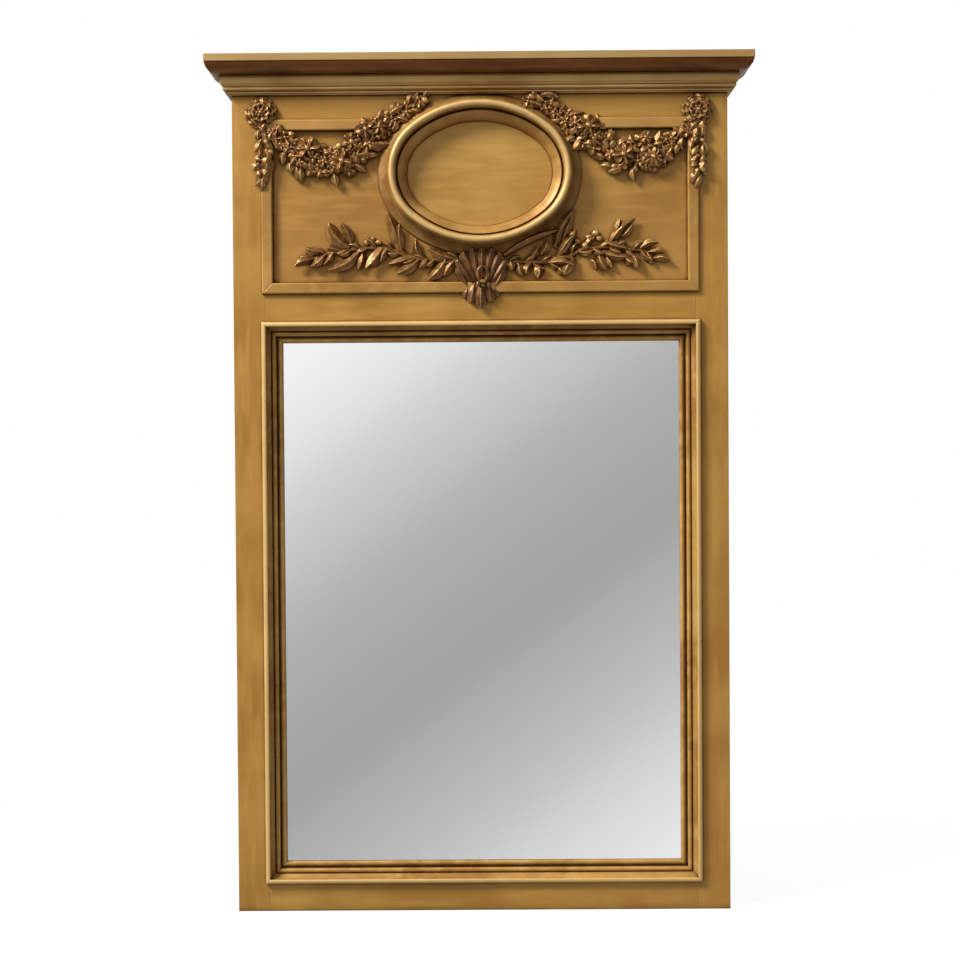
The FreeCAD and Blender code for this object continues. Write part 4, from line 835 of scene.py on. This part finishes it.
def swag(side, seed):
    """A garland of leaves and flowers from a rosette to the oval."""
    relief = Relief(seed)
    draw = relief.random.uniform
    way = 1 if side == "left" else -1
    hook = ROSETTES[side]

    def at(x, z):
        return hook.x + way * x, hook.z + z

    line = [(*at(x, z), half) for x, z, half in SWAG_LINES[side]]
    garland(relief, line, SWAG_RISE, PANEL_OUT + CORE_OUT)
    for bx, bz, tx, tz, width in SWAG_LEAVES[side]:
        leaf(relief, at(bx, bz), at(tx, tz), width * SWAG_FULL, lift=draw(4.0, 9.0),
             crown=draw(4.0, 7.0), tip_lift=draw(-4.0, 1.0), bend=draw(-0.12, 0.12),
             ridge=1.6, fold=0.45, cup=draw(0.0, 0.3), tilt=draw(-0.4, 0.4),
             veins=VEIN_HEIGHT, thick=6.5, lobes=relief.random.choice((0, 0, 3)),
             level=PANEL_OUT + LEAF_OUT)
    for x, z, radius, petals in SWAG_FLOWERS[side]:
        flower(relief, *at(x, z), radius * FLOWER_SHARE, out=PANEL_OUT + FLOWER_OUT + draw(0, 2),
               petals=petals, turn=draw(0, 1.2), cup=0.5)
    for x, z, radius in SWAG_BUDS[side]:
        ball(relief, *at(x, z), radius * BUD_SHARE, out=PANEL_OUT + BUD_OUT + radius * 0.4, stretch=1.1,
             turn=draw(0, 3.1))
    carve(relief, "carved_swag_" + side, "swag_" + side)


# Pendants of small leaves and berries under the rosettes, x to the right on both sides.
DROP_LEAVES = {
    "left": [(4, -27, -4, -63, 12), (6, -29, 13, -58, 13), (18, -40, 25, -58, 11), (1, -50, -9, -77, 12),
             (16, -63, 22, -80, 12), (13, -73, -14, -87, 13), (15, -82, -12, -96, 12),
             (16, -87, 20, -109, 13), (5, -98, 18, -93, 12), (8, -103, -9, -121, 13),
             (15, -107, 5, -122, 13), (5, -116, -5, -141, 12)],
    "right": [(0, -31, -8, -58, 12), (8, -33, 12, -56, 12), (-8, -53, -17, -75, 11), (7, -58, 17, -78, 12),
              (0, -68, -13, -87, 12), (0, -72, 7, -92, 13), (0, -97, 18, -92, 12), (-3, -97, -14, -108, 11),
              (7, -102, 13, -122, 11), (-1, -109, -5, -120, 10), (4, -107, 4, -135, 11)]}
DROP_BUDS = {
    "left": [(11, -56, 6), (18, -75, 7), (-4, -116, 6), (-5, -88, 5)],
    "right": [(-12, -66, 5), (8, -59, 5), (7, -112, 7), (-2, -87, 5), (-9, -98, 5)]}
DROP_LINE = [(2, -26, 8), (2, -50, 10), (4, -72, 13), (4, -94, 14), (3, -114, 9), (1, -126, 3)]
DROP_RISE, DROP_OUT, DROP_BUD_OUT = 8.0, -3.0, 5.0     # the last two over the band
DROP_BUD_SHARE = 0.8        # of the radius drawn


def drop(side, seed):
    """A pendant of leaves and berries under a rosette."""
    relief = Relief(seed)
    draw = relief.random.uniform
    hook = ROSETTES[side]
    garland(relief, [(hook.x + x, hook.z + z, half) for x, z, half in DROP_LINE], DROP_RISE,
            BAND_OUT + DROP_OUT, blossoms=0.0, lean=0.45, pitch=13.0)
    for bx, bz, tx, tz, width in DROP_LEAVES[side]:
        leaf(relief, (hook.x + bx, hook.z + bz), (hook.x + tx, hook.z + tz), width,
             lift=draw(1.5, 4.0), crown=draw(3.5, 6.0), tip_lift=draw(-1.0, 3.0),
             bend=draw(-0.12, 0.12), fold=0.4, tilt=draw(-0.3, 0.3), veins=VEIN_HEIGHT)
    for x, z, radius in DROP_BUDS[side]:
        ball(relief, hook.x + x, hook.z + z, radius * DROP_BUD_SHARE, out=BAND_OUT + DROP_BUD_OUT,
             stretch=1.2, turn=draw(0, 3.1))
    carve(relief, "carved_drop_" + side, "drop_" + side)


# Tiers of a rosette: share of its radius, petals, height of the roots, cup, lift of the tips.
ROSETTE_TIERS = ((1.0, 10, 1.5, 0.3, -2.5), (0.8, 9, 4.0, 0.3, -1.0), (0.54, 8, 5.5, 0.35, 4.5))
ROSETTE_TURN = 0.37         # of a full turn
# The bed under the petals: radius as a share, height over the band, and flatness.
ROSETTE_BED = (0.8, -4.0, 0.25)
PETAL_ROOT = 0.25           # share of the reach
# The wavy rim round the heart: its radius, how far it waves in and out, how often, and its thickness;
# lengths are shares of the rosette's radius, as they are for its seeds and its heart.
ROSETTE_RIM = (0.47, 0.035, 8, 0.075)
ROSETTE_SEEDS, SEED_RING, SEED_SIZE, HEART_SIZE = 6, 0.2, 0.085, 0.12
PETALS_OUT, SEEDS_OUT, HEART_OUT = -3.0, 6.0, 7.0       # over the band


def rosette(side, seed):
    """Three tiers of petals and a wavy rim round a seeded heart."""
    relief = Relief(seed)
    draw = relief.random.uniform
    x, z = ROSETTES[side].x, ROSETTES[side].z
    radius = (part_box("rosette_" + side)[1].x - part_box("rosette_" + side)[0].x) / (2 * MM)
    wide, low, flat = ROSETTE_BED
    ball(relief, x, z, radius * wide, out=BAND_OUT + low, squash=flat)
    for share, petals, lift, cup, tip_lift in ROSETTE_TIERS:
        reach = radius * share
        for i in range(petals):
            angle = 2 * math.pi * (i + ROSETTE_TURN * petals) / petals + draw(-0.08, 0.08)
            tip = toward(x, z, reach * draw(0.9, 1.02), angle)
            leaf(relief, toward(x, z, PETAL_ROOT * reach, angle), tip,
                 2 * math.pi * reach / petals * draw(0.86, 0.98), lift=lift, crown=2.5,
                 tip_lift=tip_lift, ridge=-0.8, fold=0.0, cup=cup, thick=6.0, shape=petal_width,
                 tilt=draw(-0.2, 0.25), level=BAND_OUT + PETALS_OUT)
    middle, wave, waves, thick = ROSETTE_RIM
    rim = []
    for i in range(6 * waves + 1):
        angle = math.pi * i / (3 * waves)
        reach = radius * (middle + wave * math.cos(waves * angle))
        rim.append((*toward(x, z, reach, angle), radius * thick, SEEDS_OUT))
    tube(relief, rim, level=BAND_OUT)
    for i in range(ROSETTE_SEEDS):
        angle = 2 * math.pi * i / ROSETTE_SEEDS
        ball(relief, *toward(x, z, radius * SEED_RING, angle), radius * SEED_SIZE,
             out=BAND_OUT + SEEDS_OUT)
    ball(relief, x, z, radius * HEART_SIZE, out=BAND_OUT + HEART_OUT)
    carve(relief, "carved_rosette_" + side, "rosette_" + side)


# Acanthus cartouche: (base x, base z, tip x, tip z, width, lift) from the oval's centre.
CARTOUCHE_BODY = [(1, -236, 2, -141, 86, 0)]
CARTOUCHE_RIBS = [
    (-20, -222, -43, -177, 17, 5), (24, -222, 45, -181, 16, 5), (-13, -209, -44, -163, 18, 7),
    (19, -209, 47, -166, 17, 7), (-8, -207, -32, -149, 18, 8.5), (14, -207, 36, -150, 17, 8.5),
    (-3, -206, -15, -141, 17, 9.5), (8, -206, 21, -142, 16, 9.5), (2, -206, 3, -140, 16, 10)]
CARTOUCHE_LOBES = [
    (-22, -212, -31, -234, 15, 4), (25, -212, 33, -232, 14, 4), (-11, -206, -19, -244, 19, 7),
    (14, -206, 20, -242, 19, 7), (1, -205, 0, -253, 19, 10)]
CARTOUCHE_EYE = (5, -191, 9.5, 14.5)        # x, z, half width, half height
EYE_RIM, EYE_RIM_UP, EYE_TURNS = 4.0, 14.5, 12
EYE_SHARE, EYE_LENGTH, EYE_OUT, PEARLS_OUT = 0.7, 1.35, 9.0, 18.0
CARTOUCHE_PEARLS = [(-4, -209, 4.5), (5, -211, 4.5), (14, -210, 4)]


def shield_width(t):
    return 0.42 + 0.58 * math.sin(math.pi * 0.5 * min(1.0, t * 1.25)) - 0.3 * max(0.0, t - 0.85) / 0.15


# Each layer with its outline, crown, thickness and fold.
CARTOUCHE_LAYERS = (
    (CARTOUCHE_BODY, shield_width, 8.0, 6.0, 0.12), (CARTOUCHE_RIBS, rib_width, 7.0, 8.0, 0.45),
    (CARTOUCHE_LOBES, petal_width, 7.0, 8.0, 0.45))


def cartouche(seed):
    """Ribs that fan out over a shield, an oval eye in their middle and three lobes at the foot."""
    relief = Relief(seed)
    x0, z0 = OVAL.x, OVAL.z
    for parts, shape, crown, thick, fold in CARTOUCHE_LAYERS:
        for bx, bz, tx, tz, width, lift in parts:
            leaf(relief, (x0 + bx, z0 + bz), (x0 + tx, z0 + tz), width, lift=lift, crown=crown,
                 tip_lift=1.0, ridge=1.5, fold=fold, thick=thick, shape=shape, level=PANEL_OUT)
    eye_x, eye_z, eye_w, eye_h = CARTOUCHE_EYE
    turns = [2 * math.pi * i / EYE_TURNS for i in range(EYE_TURNS + 1)]
    tube(relief, [(x0 + eye_x + eye_w * math.cos(a), z0 + eye_z + eye_h * math.sin(a),
                   EYE_RIM, EYE_RIM_UP) for a in turns])
    ball(relief, x0 + eye_x, z0 + eye_z, eye_w * EYE_SHARE, out=PANEL_OUT + EYE_OUT,
         stretch=EYE_LENGTH, turn=math.pi / 2)
    for x, z, radius in CARTOUCHE_PEARLS:
        ball(relief, x0 + x, z0 + z, radius, out=PANEL_OUT + PEARLS_OUT)
    carve(relief, "carved_cartouche", "acanthus_cartouche", "brown")


# Seeds of the random draws: of the left piece of a pair, whose right one takes the next number.
SPRAY_SEED, SWAG_SEED, DROP_SEED, ROSETTE_SEED, CARTOUCHE_SEED = 11, 21, 31, 41, 51


def carvings():
    """The nine carvings of the frieze."""
    for i, side in enumerate(("left", "right")):
        laurel_spray(side, SPRAY_SEED + i)
        swag(side, SWAG_SEED + i)
        drop(side, DROP_SEED + i)
        rosette(side, ROSETTE_SEED + i)
    cartouche(CARTOUCHE_SEED)


# ---------------- stage, light and camera
WHITE = (1, 1, 1, 1)
FLOOR_SIZE = 14.0
FLOOR_GLOW = 0.86           # share of plain white that the floor shows by the object
FLOOR_NEAR_FAR = (0.4, 1.5)             # from there on the share grows to 1


def stage():
    """A plain pale floor that shows white to the camera but keeps the object's shadow."""
    half = FLOOR_SIZE / 2
    corners = [(-half, -half, 0), (half, -half, 0), (half, half, 0), (-half, half, 0)]
    mesh = bpy.data.meshes.new("floor")
    mesh.from_pydata(corners, [], [(0, 1, 2, 3)])
    floor = add_object("floor", mesh)
    s = Shader("floor")
    tone = s.noise(600, 3.0, 0.5)
    s.finish(s.mix(tone, srgb(238, 238, 236), srgb(244, 244, 243)), 0.7, None)
    ray = s.node("ShaderNodeLightPath").outputs
    shown = s.larger(ray["Is Camera Ray"], s.larger(ray["Is Glossy Ray"], ray["Is Transmission Ray"]))
    glow = s.node("ShaderNodeEmission")
    glow.inputs["Color"].default_value = WHITE
    away = s.node("ShaderNodeVectorMath", operation="LENGTH")
    s.feed(away.inputs[0], s.place)
    share = s.times(shown, s.span(away.outputs["Value"], *FLOOR_NEAR_FAR, FLOOR_GLOW, 1.0))
    surface = s.blend(share, s.out.outputs[0], glow.outputs[0])
    s.feed(s.tree.nodes["Material Output"].inputs["Surface"], surface)
    mesh.materials.append(s.material)
    floor.visible_glossy = False
    floor.visible_diffuse = False


MIRROR_SHARE = 0.91         # light that the plate gives back
# The reflected room: how its tones run across and up, where they start, and (place, grey in the plate)
# along that way, its two ends first.
ROOM_ACROSS = 1.070
ROOM_UP = -1.471
ROOM_START = 0.2416
ROOM_TONES = [(0.0, 242), (1.0, 244), (0.124, 216), (0.25, 184), (0.39, 166), (0.47, 170),
              (0.62, 200), (0.75, 230), (0.86, 240)]
# Diffuse light comes mostly from above and the left: how much each counts, where along that way it starts
# and stops growing, and its low and high strength.
SKY_UP = 0.8
SKY_ACROSS = -0.6
SKY_RISE = (-0.5, 1.0, 0.04, 0.58)
SKY_TINT = srgb(255, 253, 249)


def sky():
    """White to the camera, a grey room to what reflects it, and soft light to everything else."""
    world = bpy.data.worlds.new("studio")
    bpy.context.scene.world = world
    world.use_nodes = True
    world.node_tree.nodes.clear()
    s = Nodes(world.node_tree)

    def background(color, strength=1.0):
        node = s.node("ShaderNodeBackground")
        s.feed(node.inputs["Color"], color)
        s.feed(node.inputs["Strength"], strength)
        return node.outputs[0]

    x, _, z = s.split(s.node("ShaderNodeTexCoord").outputs["Generated"])
    way = s.math("ADD", s.times(x, ROOM_ACROSS), s.times(z, ROOM_UP))
    ramp = s.node("ShaderNodeValToRGB")
    ramp.color_ramp.interpolation = "CARDINAL"
    stops = ramp.color_ramp.elements
    for i, (where, tone) in enumerate(ROOM_TONES):
        stop = stops[i] if i < 2 else stops.new(where)
        stop.position = where
        stop.color = [c / MIRROR_SHARE for c in srgb(tone, tone, tone)[:3]] + [1.0]
    s.feed(ramp.inputs[0], s.math("ADD", way, ROOM_START))
    strength = s.span(s.math("ADD", s.times(z, SKY_UP), s.times(x, SKY_ACROSS)), *SKY_RISE)
    ray = s.node("ShaderNodeLightPath").outputs
    shiny = s.larger(ray["Is Glossy Ray"], ray["Is Transmission Ray"])
    unseen = s.blend(shiny, background(SKY_TINT, strength), background(ramp.outputs["Color"]))
    shown = s.blend(ray["Is Camera Ray"], unseen, background(WHITE))
    s.feed(s.node("ShaderNodeOutputWorld").inputs["Surface"], shown)


def lamp(name, place, aim, size, power, glint):
    data = bpy.data.lights.new(name, "AREA")
    data.shape = "SQUARE"
    data.size = size
    data.energy = power
    piece = add_object(name, data)
    piece.location = place
    piece.rotation_euler = (Vector(aim) - Vector(place)).to_track_quat("-Z", "Y").to_euler()
    piece.visible_glossy = glint


# Lamps: name, place, aim, size, watts and whether it glints. The key stands high on the left, the fill
# in front, and two more light the back and the right side.
LAMPS = (
    ("key", (-5.3, -3.2, 6.4), (0, 0, 0.95), 1.94, 1060, True),
    ("fill", (0.6, -4.6, 0.9), (0, 0, 0.8), 2.0, 12, False),
    ("back", (0.8, 2.8, 1.6), (0, 0, 0.8), 2.0, 60, False),
    ("side", (4.5, 1.0, 1.8), (0, 0, 0.8), 2.0, 90, False))


# The camera stands where the photograph was taken from, nearly square to the frame; angles in degrees.
CAMERA_PLACE = (0.0096, -2.848, 0.8667)
CAMERA_DOWN = 0.907
CAMERA_LEFT = 0.266
CAMERA_ROLL = -0.386
LENS = 55.15
SENSOR = 36.0


def camera():
    data = bpy.data.cameras.new("camera")
    data.lens = LENS
    data.sensor_width = SENSOR
    data.sensor_fit = "HORIZONTAL"
    turn = Matrix.Rotation(math.radians(CAMERA_LEFT), 3, "Z")
    turn = turn @ Matrix.Rotation(math.radians(-CAMERA_DOWN), 3, "X")
    right, up, ahead = turn @ Vector((1, 0, 0)), turn @ Vector((0, 0, 1)), turn @ Vector((0, 1, 0))
    roll = math.radians(CAMERA_ROLL)
    right, up = math.cos(roll) * right + math.sin(roll) * up, math.cos(roll) * up - math.sin(roll) * right
    pose = Matrix((right, up, -ahead)).transposed().to_4x4()
    pose.translation = CAMERA_PLACE
    piece = add_object("camera", data)
    piece.matrix_world = pose
    bpy.context.scene.camera = piece


dress_nodes()
carvings()
stage()
sky()
for settings in LAMPS:
    lamp(*settings)
camera()
bpy.context.scene.view_settings.view_transform = "Standard"
